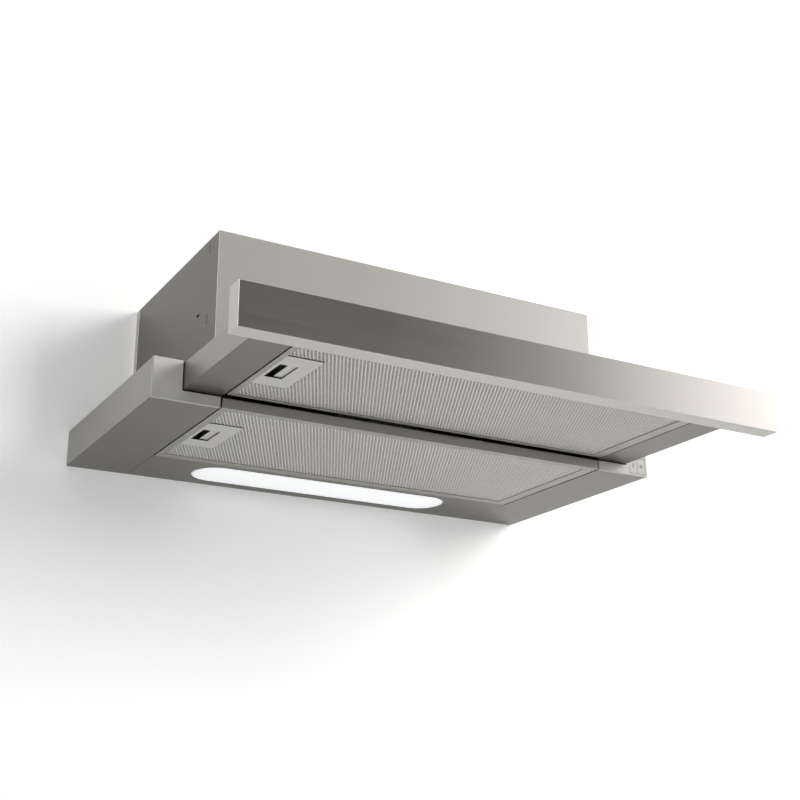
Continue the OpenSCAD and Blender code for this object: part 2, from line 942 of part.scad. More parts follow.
// Forward-leaning blades from one ring to the other
module impeller_blades()
    for (i = [0 : blades - 1])
        rotate([360 / blades * i, 0, 0])
            translate([0, (blade_in + blade_out) / 2, 0])
                rotate([blade_lean, 0, 0])
                    block(
                        [-impeller_w / 2 + ring_t + fit, impeller_w / 2 - ring_t - fit],
                        [(blade_in - blade_out) / 2, (blade_out - blade_in) / 2],
                        [-blade_t / 2, blade_t / 2]
                    );

// Disc with a hub, slotted for the blades
module impeller_disc()
    color("lightgray")
        translate([duct_x, blower_c[0], blower_c[1]])
            difference() {
                union() {
                    rod_x(impeller_r, [-disc_t / 2, disc_t / 2], 0, 0);
                    rod_x(hub_r, [-hub_l / 2, hub_l / 2], 0, 0);
                }
                rod_x(shaft_r + fit, [-hub_l / 2 - cut, hub_l / 2 + cut], 0, 0);
                impeller_blades();
            }

// Two rings with the blades between them, each a piece of its own
module impeller_cage()
    color("lightgray")
        translate([duct_x, blower_c[0], blower_c[1]]) {
            for (x = [-impeller_w / 2, impeller_w / 2 - ring_t])
                difference() {
                    rod_x(impeller_r, [x, x + ring_t], 0, 0);
                    rod_x(impeller_r - ring_w, [x - cut, x + ring_t + cut], 0, 0);
                }
            impeller_blades();
        }

// Electrics

module capacitor()
    color("white") {
        rod_z(capacitor_r, capacitor_x, capacitor_y, [roof_z - stud_l - capacitor_l, roof_z - stud_l]);
        rod_z(stud_r, capacitor_x, capacitor_y, [roof_z - stud_l, roof_z]);
    }

module power_box()
    color("black") {
        block(
            [power_at[0] - power_size[0], power_at[0]],
            [power_at[1] - power_size[1], power_at[1]],
            [roof_z - power_size[2], roof_z]
        );
        block(
            [power_at[0] - power_size[0] - power_lid_lip, power_at[0] + power_lid_lip],
            [power_at[1] - power_size[1] - power_lid_lip, power_at[1] + power_lid_lip],
            [roof_z - power_size[2] - power_lid_t, roof_z - power_size[2]]
        );
    }

module gland_rod(r, z)
    rod_z(r, gland_at[0], gland_at[1], z);

module cable_gland()
    color("black")
        difference() {
            union() {
                gland_rod(gland_flange_r, [roof_z - gland_nut_t, roof_z]);
                gland_rod(gland_thread_r, [roof_z - gland_thread_l, casing_top_z]);
                gland_rod(gland_flange_r, [casing_top_z, casing_top_z + gland_flange_t]);
                gland_rod(gland_dome_r, [casing_top_z, casing_top_z + gland_flange_t + gland_dome_h]);
            }
            gland_rod(
                gland_bore,
                [roof_z - gland_thread_l - cut, casing_top_z + gland_flange_t + gland_dome_h + cut]
            );
        }

module drawer_switch()
    color("black")
        difference() {
            block(switch_x, [switch_front, switch_front + switch_l], [plate_z - switch_h, plate_z]);
            rod_y(
                plunger_r + fit,
                plunger_at[0],
                [switch_front - cut, switch_front + plunger_in + plunger_travel + gap],
                plunger_at[1]
            );
        }

module switch_plunger()
    color("red")
        rod_y(
            plunger_r,
            plunger_at[0],
            [switch_front - plunger_out, switch_front + plunger_in],
            plunger_at[1]
        );

// Buttons and the board behind them; column and row count from the lower left

function button_x(column) = window_x[0] + button_gap + column * (button_size[0] + button_gap);

function button_z(row) = window_z[0] + button_gap + row * (button_size[1] + button_gap);

module button(column, row)
    color("gainsboro") {
        block(
            [button_x(column), button_x(column) + button_size[0]],
            [-frame_d, -frame_d + button_t],
            [button_z(row), button_z(row) + button_size[1]]
        );
        rod_y(stem_r, button_x(column) + button_size[0] / 2, stem_y, button_z(row) + button_size[1] / 2);
    }

module button_one() button(0, 0);

module button_lamp() button(1, 0);

module button_two() button(0, 1);

module button_three() button(1, 1);

module control_board()
    let (inset = sheet_t + plug_gap + plug_t + board_gap)
        color("darkgreen") {
            block([arm_in + inset, arm_out - inset], [board_y, board_y + board_t], [inset, arm_h - inset]);
            for (column = [0, 1], row = [0, 1])
                let (x = button_x(column) + button_size[0] / 2, z = button_z(row) + button_size[1] / 2)
                    block(
                        [x - key_w / 2, x + key_w / 2],
                        [board_y - key_t, board_y],
                        [z - key_w / 2, z + key_w / 2]
                    );
        }

// Slides

// Open rail: a web at web_x with two lips that reach to lip_x, drawn for the right side
module rail_section(web, lip_x, z) {
    area(web, z);
    area([min(web[0], lip_x), max(web[1], lip_x)], [z[0], z[0] + rail_t]);
    area([min(web[0], lip_x), max(web[1], lip_x)], [z[1] - rail_t, z[1]]);
}

module fixed_rail()
    along_y(rail_y_shut) {
        rail_section([fixed_web, fixed_web + rail_t], fixed_lip, rail_z);
        area([fixed_web, fixed_web + rail_t], [rail_z[0], plate_z]);
        area([fixed_web, fixed_web + hanger_w], [plate_z - rail_t, plate_z]);
    }

module fixed_rails()
    color("lightgray") {
        fixed_rail();
        left() fixed_rail();
    }

module middle_rail() {
    along_y([rail_y_shut[0] - travel / 2, rail_y_shut[1] - travel / 2])
        rail_section(
            [middle_web, middle_web + rail_t],
            middle_lip,
            [rail_z[0] + rail_step, rail_z[1] - rail_step]
        );
    for (y = [rail_y_shut[0] - travel / 2, rail_y_shut[1] - travel / 2 - glide_l])
        along_y([y, y + glide_l]) {
            area([fixed_lip, middle_web + rail_t], [rail_z[0] + rail_t + gap, rail_z[0] + rail_step]);
            area([fixed_lip, middle_web + rail_t], [rail_z[1] - rail_step, rail_z[1] - rail_t - gap]);
            area(
                [middle_lip, middle_web],
                [rail_z[0] + rail_step + rail_t, rail_z[0] + 2 * rail_step - gap]
            );
            area(
                [middle_lip, middle_web],
                [rail_z[1] - 2 * rail_step + gap, rail_z[1] - rail_step - rail_t]
            );
        }
}

module middle_rail_left() color("gray") left() middle_rail();

module middle_rail_right() color("gray") middle_rail();

module drawer_rail()
    along_y([rail_y_shut[0] - travel, rail_y_shut[1] - travel])
        rail_section(
            [slide_x, slide_x + rail_t],
            slide_x + rail_depth,
            [rail_z[0] + 2 * rail_step, rail_z[1] - 2 * rail_step]
        );

module drawer_rails()
    color("lightgray") {
        drawer_rail();
        left() drawer_rail();
    }

// Drawer

// Side channel, open at the top, with a plate across its front end
module drawer_channel()
    difference() {
        union() {
            along_y(channel_y)
                difference() {
                    area([channel_in, channel_out], channel_z);
                    area(
                        [channel_in + channel_t, channel_out - channel_t],
                        [channel_z[0] + channel_t, channel_z[1] + cut]
                    );
                }
            block([channel_in, channel_out], [fascia_back, fascia_back + channel_t], channel_z);
        }
        for (z = fascia_screw_z)
            rod_y(
                fascia_screw_hole_r,
                fascia_screw_x,
                [fascia_back - cut, fascia_back + channel_t + cut],
                z
            );
    }

module drawer_channel_left()
    color("silver")
        left()
            difference() {
                drawer_channel();
                catch_slot(channel_in, channel_t, upper_mid, upper_z);
            }

module drawer_channel_right()
    color("silver")
        difference() {
            drawer_channel();
            hinge_slots(channel_in, channel_t, upper_y, upper_z);
        }

// Cover with its rear edge folded down
module drawer_cover()
    color("silver")
        along_x([-channel_in, channel_in]) {
            area([fascia_back, cover_rear], cover_z);
            area([cover_rear - cover_t, cover_rear], [cover_z[0] - cover_fold, cover_z[1]]);
        }

module fascia()
    color("silver")
        difference() {
            block([-arm_out, arm_out], [fascia_front, fascia_back], [-fascia_drop, fascia_h - fascia_drop]);
            block(
                [-arm_out + sheet_t, arm_out - sheet_t],
                [fascia_front + sheet_t, fascia_back + cut],
                [-fascia_drop + sheet_t, fascia_h - fascia_drop - sheet_t]
            );
        }

module fascia_back_plate()
    color("gray")
        difference() {
            block(
                [-arm_out + sheet_t + plug_gap, arm_out - sheet_t - plug_gap],
                [fascia_back - back_plate_t, fascia_back],
                [-fascia_drop + sheet_t + plug_gap, fascia_h - fascia_drop - sheet_t - plug_gap]
            );
            fascia_screw_places()
                rod_y(fascia_screw_hole_r, 0, [fascia_back - back_plate_t - cut, fascia_back + cut], 0);
        }

module fascia_screw_places()
    for (side = [-1, 1], z = fascia_screw_z)
        translate([side * fascia_screw_x, 0, z])
            children();

module drawer_screws()
    color("gray")
        fascia_screw_places() {
            rod_y(fascia_screw_r, 0, [fascia_back - back_plate_t, fascia_back + channel_t], 0);
            rod_y(fascia_head_r, 0, [fascia_back + channel_t, fascia_back + channel_t + fascia_head_t], 0);
        }

// Filters; x, y and z0 are the cassette's sides and underside, borders are left, right, front, rear

function latch_mid(y, shift) = (y[0] + y[1]) / 2 + shift;

function window_of(x, borders) = [x[0] + borders[0], x[1] - borders[1]];

function depth_of(y, borders) = [y[0] + borders[2], y[1] - borders[3]];

function tray_of(x, borders) = [x[0] + borders[0] + tray_lift, x[0] + borders[0] + tray_lift + latch_w];

module filter_frame(x, y, z0, borders, mid, pin_x) {
    difference() {
        block(x, y, [z0, z0 + filter_h]);
        block(
            [x[0] + frame_sheet, x[1] - frame_sheet],
            [y[0] + frame_sheet, y[1] - frame_sheet],
            [z0 + frame_sheet, z0 + filter_h - frame_sheet]
        );
        block(window_of(x, borders), depth_of(y, borders), [z0 - cut, z0 + frame_sheet + cut]);
        block(
            [x[0] + top_border, x[1] - top_border],
            [y[0] + top_border, y[1] - min(top_border, borders[3])],
            [z0 + filter_h - frame_sheet - cut, z0 + filter_h + cut]
        );
        block(
            [x[0] - cut, x[0] + frame_sheet + cut],
            [mid - catch_l / 2, mid + catch_l / 2],
            [z0 + catch_z[0], z0 + catch_z[1]]
        );
    }
    for (share = [tab_share, 1 - tab_share])
        let (tab = y[0] + share * (y[1] - y[0])) {
            block(
                [x[1] - frame_sheet, pin_x],
                [tab - tab_l / 2, tab + tab_l / 2],
                [z0 + pin_z - tab_t / 2, z0 + pin_z + tab_t / 2]
            );
            rod_y(pin_r, pin_x, [tab - tab_l / 2, tab + tab_l / 2], z0 + pin_z);
        }
}

// Sheet with staggered diamond gaps, cut away around the latch plate
module filter_mesh(x, y, z0, borders, tray, mid)
    let (
        wx = window_of(x, borders),
        wy = depth_of(y, borders),
        px = (wx[1] - wx[0]) / mesh_columns,
        py = (wy[1] - wy[0]) / mesh_rows,
        lean = atan2(py, px),
        half = [px / 2 - strand_w / 2 / sin(lean), py / 2 - strand_w / 2 / cos(lean)]
    )
        along_z([z0 + frame_sheet, z0 + 2 * frame_sheet])
            difference() {
                area([x[0] + frame_sheet + plug_gap, x[1] - frame_sheet - plug_gap],
                    [y[0] + frame_sheet + plug_gap, y[1] - frame_sheet - plug_gap]);
                latch_area(tray, mid);
                for (row = [0 : mesh_rows - 1], column = [0 : mesh_columns - 1])
                    diamond([wx[0] + px * (column + 1 / 2), wy[0] + py * (row + 1 / 2)], half, tray, mid);
                for (row = [1 : mesh_rows - 1], column = [1 : mesh_columns - 1])
                    diamond([wx[0] + px * column, wy[0] + py * row], half, tray, mid);
            }

// One gap in the mesh, left out where it would meet the latch plate
module diamond(at, half, tray, mid)
    if (at[0] - half[0] > tray[1] + strand_w || abs(at[1] - mid) > latch_l / 2 + half[1] + strand_w)
        translate(at)
            polygon([[-half[0], 0], [0, -half[1]], [half[0], 0], [0, half[1]]]);

module latch_area(tray, mid)
    area([tray[0] - gap, tray[1] + gap], [mid - latch_l / 2 - gap, mid + latch_l / 2 + gap]);

// Fine mesh that fills the cassette above the outer sheet, in three pleated strips round the latch
module filter_pad(x, y, z0, tray, mid)
    let (
        px = [x[0] + frame_sheet + plug_gap, x[1] - frame_sheet - plug_gap],
        py = [y[0] + frame_sheet + plug_gap, y[1] - frame_sheet - plug_gap],
        z = [z0 + 2 * frame_sheet, z0 + filter_h - frame_sheet - pad_t],
        hold = [mid - latch_l / 2 - gap, mid + latch_l / 2 + gap]
    ) {
        pleated_strip(px, [py[0], hold[0] - gap / 2], z, px);
        pleated_strip(px, [hold[0] + gap / 2, hold[1] - gap / 2], z, [tray[1] + gap, px[1]]);
        pleated_strip(px, [hold[1] + gap / 2, py[1]], z, px);
    }

// Pleats over the whole width x, of which the stretch kept is left
module pleated_strip(x, y, z, kept)
    let (line = [for (i = [0 : 2 * pleats]) [x[0] + (x[1] - x[0]) * i / (2 * pleats), z[i % 2]]])
        along_y(y)
            intersection() {
                polygon(concat(line, [for (i = [2 * pleats : -1 : 0]) line[i] + [0, pad_t]]));
                area(kept, [z[0], z[1] + pad_t]);
            }

// Shallow tray with a finger cup through its floor
module latch_plate(tray, z0, mid)
    let (y = [mid - latch_l / 2, mid + latch_l / 2], floor_z = z0 + tray_lift + tray_floor)
        difference() {
            block(tray, y, [z0 + tray_lift, z0 + tray_h]);
            block(
                [tray[0] + tray_wall, tray[1] - tray_wall],
                [y[0] + tray_wall, y[1] - tray_wall],
                [floor_z, z0 + tray_h + cut]
            );
            block(
                [tray[0] + cup_inset, tray[0] + cup_inset + cup_w],
                [mid - cup_l / 2, mid + cup_l / 2],
                [z0 - cut, floor_z + cut]
            );
            block(
                [tray[0] - cut, tray[0] + tray_wall + cut],
                [mid - slider_w / 2 - gap, mid + slider_w / 2 + gap],
                [z0 + slider_z - gap, z0 + slider_z + slider_t + gap]
            );
        }

function web_x(tray) = tray[0] + cup_inset + cup_w / 2;

// Tongue above, finger tab below, joined by an upright web
module latch_slider(tray, z0, mid, wall_x)
    let (web = web_x(tray), y = [mid - slider_w / 2, mid + slider_w / 2]) {
        block([wall_x + tongue_gap, web + slider_t], y, [z0 + slider_z, z0 + slider_z + slider_t]);
        block([web, web + slider_t], y, [z0 + tab_z, z0 + slider_z + slider_t]);
        block(
            [web, tray[0] + cup_inset + cup_w + tab_hold],
            [mid - cup_l / 2 + gap, mid + cup_l / 2 - gap],
            [z0 + tab_z, z0 + tab_z + slider_t]
        );
    }

// Coil between the slider's web and the far wall of its tray, as one tube of six-sided rings
module latch_spring(tray, z0, mid)
    let (
        start = web_x(tray) + slider_t + spring_gap + wire_r,
        end = tray[1] - tray_wall - spring_gap - wire_r,
        steps = spring_turns * spring_turn_steps,
        points = [
            for (i = [0 : steps], j = [0 : wire_sides - 1])
                let (
                    a = 360 * i / spring_turn_steps,
                    b = 360 * j / wire_sides,
                    reach = spring_r + wire_r * cos(b)
                )
                    [
                        start + (end - start) * i / steps + wire_r * sin(b),
                        mid + reach * cos(a),
                        z0 + spring_z + reach * sin(a)
                    ]
        ],
        sides = [
            for (i = [0 : steps - 1], j = [0 : wire_sides - 1], half = [0, 1])
                let (
                    near = i * wire_sides,
                    far = near + wire_sides,
                    next = (j + 1) % wire_sides
                )
                    half == 0 ? [near + j, near + next, far + next] : [near + j, far + next, far + j]
        ],
        ends = [
            for (j = [1 : wire_sides - 2], side = [0, 1])
                side == 0 ? [0, j + 1, j] : steps * wire_sides * [1, 1, 1] + [0, j, j + 1]
        ]
    )
        polyhedron(points = points, faces = concat(sides, ends));

module lower_filter_frame()
    color("darkgray") filter_frame(lower_x, lower_y, lower_z, lower_borders, lower_mid, foot_in + pin_in);

module lower_filter_mesh()
    color("gainsboro") filter_mesh(lower_x, lower_y, lower_z, lower_borders, lower_tray, lower_mid);

module lower_filter_pad()
    color("gray") filter_pad(lower_x, lower_y, lower_z, lower_tray, lower_mid);

module lower_latch_plate()
    color("silver") latch_plate(lower_tray, lower_z, lower_mid);

module lower_latch_slider()
    color("gainsboro") latch_slider(lower_tray, lower_z, lower_mid, -foot_in);

module lower_latch_spring()
    color("lightgray") latch_spring(lower_tray, lower_z, lower_mid);

module upper_filter_frame()
    color("darkgray")
        filter_frame(upper_x, upper_y, upper_z, upper_borders, upper_mid, channel_in + pin_in);

module upper_filter_mesh()
    color("gainsboro") filter_mesh(upper_x, upper_y, upper_z, upper_borders, upper_tray, upper_mid);

module upper_filter_pad()
    color("gray") filter_pad(upper_x, upper_y, upper_z, upper_tray, upper_mid);

module upper_latch_plate()
    color("silver") latch_plate(upper_tray, upper_z, upper_mid);

module upper_latch_slider()
    color("gainsboro") latch_slider(upper_tray, upper_z, upper_mid, -channel_in);

module upper_latch_spring()
    color("lightgray") latch_spring(upper_tray, upper_z, upper_mid);

left_arm();
right_arm();
left_arm_cap();
control_panel();
frame_top_plate();
rear_tray();
lamp_lens();
lamp_reflector();
lamp_tube();
lamp_holders();
casing_shell();
casing_back();
casing_roof();
roof_screws();
duct_collar();
outlet_adapter();
volute_left();
volute_right();
motor_body();
motor_bearings();
motor_bracket();
motor_bushes();
motor_screws();
impeller_disc();
impeller_cage();
motor_shaft();
capacitor();
power_box();
cable_gland();
flap_left();
flap_right();
control_board();
button_lamp();
button_one();
button_two();
button_three();
fixed_rails();
middle_rail_left();
middle_rail_right();
drawer_rails();
drawer_channel_left();
drawer_channel_right();
drawer_cover();
fascia();
fascia_back_plate();
drawer_screws();
drawer_switch();
switch_plunger();
lower_filter_frame();
lower_filter_mesh();
lower_filter_pad();
lower_latch_plate();
lower_latch_slider();
lower_latch_spring();
upper_filter_frame();
upper_filter_mesh();
upper_filter_pad();
upper_latch_plate();
upper_latch_slider();
upper_latch_spring();
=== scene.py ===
"""Built-in telescopic range hood with its drawer pulled out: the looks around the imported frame."""

import json
import math

import bmesh
import bpy
from bpy.props import FloatProperty, FloatVectorProperty, IntProperty, PointerProperty
from mathutils import Matrix, Vector

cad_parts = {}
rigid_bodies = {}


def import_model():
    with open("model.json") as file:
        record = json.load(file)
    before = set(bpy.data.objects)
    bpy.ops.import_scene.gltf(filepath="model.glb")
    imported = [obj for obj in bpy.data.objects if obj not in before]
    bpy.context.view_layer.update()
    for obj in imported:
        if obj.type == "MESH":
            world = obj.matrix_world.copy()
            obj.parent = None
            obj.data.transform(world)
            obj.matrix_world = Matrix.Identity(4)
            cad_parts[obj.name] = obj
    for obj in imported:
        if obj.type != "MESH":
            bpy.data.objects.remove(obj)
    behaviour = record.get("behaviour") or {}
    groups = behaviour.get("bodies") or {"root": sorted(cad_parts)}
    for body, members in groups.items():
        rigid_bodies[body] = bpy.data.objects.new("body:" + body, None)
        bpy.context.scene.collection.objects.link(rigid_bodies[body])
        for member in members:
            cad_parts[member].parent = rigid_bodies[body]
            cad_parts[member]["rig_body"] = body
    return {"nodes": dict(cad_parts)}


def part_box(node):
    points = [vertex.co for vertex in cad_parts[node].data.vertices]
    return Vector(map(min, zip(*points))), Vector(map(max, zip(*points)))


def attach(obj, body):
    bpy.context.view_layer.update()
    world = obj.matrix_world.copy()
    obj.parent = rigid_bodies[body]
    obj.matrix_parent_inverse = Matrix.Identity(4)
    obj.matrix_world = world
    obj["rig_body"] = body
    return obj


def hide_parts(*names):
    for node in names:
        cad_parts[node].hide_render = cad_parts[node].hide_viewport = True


bl_info = {
    "name": "Telescopic Range Hood",
    "version": (1, 0, 0),
    "blender": (4, 5, 0),
    "location": "3D View > Sidebar > Range Hood",
    "description": "Dresses the packed range hood with rounded folds, mesh, legends and finishes",
    "category": "Object",
}

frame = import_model()
NODES = frame["nodes"]
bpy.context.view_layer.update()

MM = 0.001

# How far apart, in millimetres, two places may be and still be the same
SAME_PLACE = 0.05
# How much of an edge's length lies along the axis that it runs along
STRAIGHT = 0.999
MERGE_DISTANCE = 0.01 * MM
PRINT_MERGE_DISTANCE = 0.001 * MM
FLAT_ANGLE = math.radians(0.5)
CURVED_ANGLE = math.radians(2)
SHARP_ANGLE = math.radians(35)
FOLD_ANGLE = math.radians(40)
LARGE_FACE = 150 * MM * MM

# Shortest edge that is rounded: ordinarily, on long folds only, and where round corners join in
SHORT_EDGE = 4 * MM
LONG_FOLD = 60 * MM
CORNER_FACET = 0.3 * MM
ARC_FACET = 0.1 * MM


# Sizes and colours


def size(name, default, description, **extra):
    """A length that the user may change."""
    return FloatProperty(
        name=name,
        description=description,
        default=default,
        min=0.0,
        unit="LENGTH",
        precision=5,
        **extra,
    )


def colour(name, default, description):
    """A colour that the user may change."""
    return FloatVectorProperty(
        name=name,
        description=description,
        default=default,
        min=0.0,
        max=1.0,
        size=3,
        subtype="COLOR",
    )


def share(name, default, description):
    """A share between none and all."""
    return FloatProperty(
        name=name, description=description, default=default, min=0.0, max=1.0, subtype="FACTOR"
    )


def power(name, default, description):
    """A lamp's power."""
    return FloatProperty(name=name, description=description, default=default, min=0.0, unit="POWER")


def angle(name, degrees, description):
    """An angle that the user may change."""
    return FloatProperty(
        name=name, description=description, default=math.radians(degrees), subtype="ANGLE"
    )


class HoodSizes(bpy.types.PropertyGroup):
    """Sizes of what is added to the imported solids."""

    fold_radius: size("Fold radius", 0.8 * MM, "Outer radius of the folds in the arms and casing")
    fascia_radius: size("Fascia radius", 0.6 * MM, "Outer radius of the folds round the fascia")
    cap_radius: size("Cap radius", 0.45 * MM, "Radius of the moulded edges of the two caps")
    edge_radius: size("Edge radius", 0.2 * MM, "Radius of every other straight edge")
    plate_corner: size("Latch plate corner", 1.6 * MM, "Radius of the latch plates' corners")
    plate_radius: size("Latch plate edge", 0.35 * MM, "Radius of the latch plates' lower edges")
    tab_radius: size("Slider edge", 0.3 * MM, "Radius of the latch sliders' and switch's edges")
    button_radius: size("Button edge", 0.4 * MM, "Radius of the buttons' front edges")
    lens_radius: size("Lens radius", 0.8 * MM, "Radius of the lens' lower rim")
    cell_width: size("Cell width", 3.8 * MM, "Width of one mesh cell from side to side")
    cell_length: size("Cell length", 7.6 * MM, "Length of one mesh cell from front to back")
    strand_width: size("Strand width", 1.2 * MM, "Width of a mesh strand")
    strand_tilt: size("Strand tilt", 0.2 * MM, "How far a strand leans out of the sheet")
    legend_height: size("Legend height", 6.0 * MM, "Height of the numbers on the buttons")
    legend_thickness: size("Legend thickness", 0.04 * MM, "Thickness of the printed numbers")
    fold_segments: IntProperty(
        name="Fold segments", description="Facets across a rounded fold", default=4, min=1, max=12
    )


class HoodColours(bpy.types.PropertyGroup):
    """Colours of the finishes."""

    steel: colour("Brushed steel", (0.38, 0.36, 0.32), "Brushed stainless steel sheet")
    # Painted shade: the arms' and channels' steel at a darker tone, for the arms apart from their
    # sides, the strip round the lamp and the channels' undersides
    under: colour("Frame steel", (0.155, 0.147, 0.13), "Arms, strip and undersides")
    casing: colour("Casing steel", (0.48, 0.463, 0.42), "Duller sheet of the casing")
    # Painted shade: the casing's steel at a darker tone, for the casing's sides
    flank: colour("Casing side", (0.17, 0.161, 0.145), "Sides of the casing")
    # Painted light: the same steel at a lighter tone, for the sides of the arms and channels
    rail: colour("Channel steel", (0.305, 0.292, 0.267), "Sides of the channels and arms")
    # Painted light: the fascia's steel at a lighter tone, with a rougher satin finish, for its ends
    # and underside
    hem: colour("Fascia edge", (0.58, 0.567, 0.536), "Unbrushed ends and underside of the fascia")
    zinc: colour("Zinc", (0.60, 0.61, 0.62), "Galvanised steel of the inner parts")
    aluminium: colour("Mesh aluminium", (0.63, 0.613, 0.582), "Mesh of the filters")
    edging: colour("Frame aluminium", (0.33, 0.32, 0.299), "Frames of the filters")
    wool: colour("Pad", (0.46, 0.45, 0.425), "Pleated pad behind the mesh")
    silver: colour("Silver plastic", (0.58, 0.568, 0.53), "Caps and buttons")
    latch: colour("Latch plastic", (0.57, 0.558, 0.533), "Plates and sliders of the latches")
    # Also painted shade: the inner walls of the latch cups and the sliders' faces beside their tabs
    black: colour("Black plastic", (0.018, 0.018, 0.018), "Collar, switch and holders")
    white: colour("White plastic", (0.72, 0.72, 0.70), "Blower housing and adapter")
    lens: colour("Lens", (0.93, 0.94, 0.95), "Opal lens and its light")
    tube: colour("Tube", (0.85, 0.86, 0.88), "Glass of the lamp's tube")
    enamel: colour("Enamel", (0.82, 0.82, 0.80), "Reflector behind the tube")
    motor: colour("Motor paint", (0.10, 0.105, 0.11), "Body of the motor")
    rubber: colour("Rubber", (0.02, 0.02, 0.02), "Bushes under the motor")
    ink: colour("Print", (0.02, 0.02, 0.022), "Numbers on the buttons")
    board: colour("Board", (0.012, 0.11, 0.04), "Circuit board")
    bronze: colour("Bronze", (0.50, 0.30, 0.13), "Sintered bearings")
    red: colour("Red plastic", (0.45, 0.02, 0.015), "Plunger of the drawer switch")
    wall: colour("Wall", (0.92, 0.92, 0.92), "Wall of the studio")
    floor: colour("Floor", (0.60, 0.60, 0.60), "Floor of the studio")


class HoodLight(bpy.types.PropertyGroup):
    """Light of the studio."""

    key_power: power("Key power", 190.0, "Power of the lamp that casts the shadow")
    key_width: size("Key width", 2.0, "Side of the square key lamp")
    key_turn: angle("Key turn", 30, "Angle of the key lamp to the right of the front")
    key_rise: angle("Key rise", 13, "Angle of the key lamp above the hood")
    key_distance: size("Key distance", 5.5, "Distance of the key lamp from the hood")
    box_power: power("Soft box power", 25.0, "Power of the soft box that the steel mirrors")
    box_width: size("Soft box width", 1.3, "Side of the square soft box")
    box_turn: angle("Soft box turn", 60, "Angle of the soft box to the right of the front")
    box_rise: angle("Soft box rise", 16, "Angle of the soft box above the hood")
    box_distance: size("Soft box distance", 2.75, "Distance of the soft box from the hood")
    edge_power: power("Edge lamp power", 26.0, "Power of the lamp that only the edges mirror")
    edge_width: size("Edge lamp width", 1.0, "Side of the square edge lamp")
    edge_turn: angle("Edge lamp turn", -60, "Angle of the edge lamp to the right of the front")
    edge_rise: angle("Edge lamp rise", 18, "Angle of the edge lamp above the hood")
    edge_distance: size("Edge lamp distance", 2.5, "Distance of the edge lamp from the hood")
    room_fill: share("Room fill", 0.46, "Strength of the light from all round")
    wall_glow: share("Wall glow", 0.20, "How much the wall shows beyond its own light")
    floor_glow: share("Floor glow", 0.68, "How much the floor shows beyond its own light")
    lens_strength: share("Lens strength", 0.45, "Strength of the lens' light")


# Finishes


def math_node(tree, operation, first, second=None):
    """The result of a Math node on one or two values, each a socket or a number."""
    made = tree.nodes.new("ShaderNodeMath")
    made.operation = operation
    for socket, value in zip(made.inputs, (first, second)):
        if isinstance(value, bpy.types.NodeSocket):
            tree.links.new(value, socket)
        elif value is not None:
            socket.default_value = value
    return made.outputs[0]


class Finish:
    """One procedural material, built node by node on Object coordinates."""

    def __init__(self, name, base, roughness, metallic=0.0, **sockets):
        self.material = bpy.data.materials.new(name)
        self.material.use_nodes = True
        self.tree = self.material.node_tree
        self.shader = self.tree.nodes["Principled BSDF"]
        self.base = base
        self.roughness = roughness
        self.shader.inputs["Base Color"].default_value = (*base, 1)
        self.shader.inputs["Roughness"].default_value = roughness
        self.shader.inputs["Metallic"].default_value = metallic
        for socket, value in sockets.items():
            self.shader.inputs[socket.replace("_", " ")].default_value = value
        self.place = self.add("ShaderNodeTexCoord").outputs["Object"]
        self.height = None

    def add(self, kind, **settings):
        """Adds a node; a setting that isn't a property of the node is one of its inputs."""
        made = self.tree.nodes.new(kind)
        for key, value in settings.items():
            if hasattr(made, key):
                setattr(made, key, value)
            else:
                socket = made.inputs[key.replace("_", " ")]
                if isinstance(value, bpy.types.NodeSocket):
                    self.tree.links.new(value, socket)
                else:
                    socket.default_value = value
        return made

    def noise(self, scale, detail=3.0, stretch=(1, 1, 1), grit=0.5):
        """Noise of that many spots a metre, stretched along an axis by a small factor there."""
        place = self.add("ShaderNodeMapping", Vector=self.place, Scale=stretch).outputs[0]
        made = self.add(
            "ShaderNodeTexNoise", Vector=place, Scale=scale, Detail=detail, Roughness=grit
        )
        return made.outputs[0]

    def cells(self, scale, feature="F1"):
        """Voronoi cells of that many a metre."""
        return self.add("ShaderNodeTexVoronoi", feature=feature, Vector=self.place, Scale=scale)

    def spread(self, value, low, high, start=0.3, end=0.7):
        """Takes a value from start..end to low..high."""
        made = self.add(
            "ShaderNodeMapRange", Value=value, From_Min=start, From_Max=end, To_Min=low, To_Max=high
        )
        return made.outputs[0]

    def sum(self, first, second):
        """Adds two values."""
        return math_node(self.tree, "ADD", first, second)

    def tint(self, value, dark, light):
        """Colours between base times dark and base times light."""
        made = self.add("ShaderNodeMix", data_type="RGBA")
        ends = [s for s in made.inputs if s.type == "RGBA"]
        ends[0].default_value = (*[min(1, c * dark) for c in self.base], 1)
        ends[1].default_value = (*[min(1, c * light) for c in self.base], 1)
        self.tree.links.new(value, made.inputs[0])
        out = [s for s in made.outputs if s.type == "RGBA"][0]
        self.tree.links.new(out, self.shader.inputs["Base Color"])

    def rough(self, value, change):
        """Roughness that varies by the change either way."""
        low, high = self.roughness - change, self.roughness + change
        self.tree.links.new(self.spread(value, low, high), self.shader.inputs["Roughness"])

    def bump(self, value, depth, strength=1.0):
        """Adds a height of that depth in metres; calls stack."""
        made = self.add("ShaderNodeBump", Height=value, Distance=depth, Strength=strength)
        if self.height is not None:
            self.tree.links.new(self.height, made.inputs["Normal"])
        self.height = made.outputs[0]
        self.tree.links.new(self.height, self.shader.inputs["Normal"])


# How much a pattern is squeezed along x, y and z: streaks run along the axis of the small one
ALONG_X = (0.012, 1, 1)
ALONG_Y = (1, 0.012, 1)


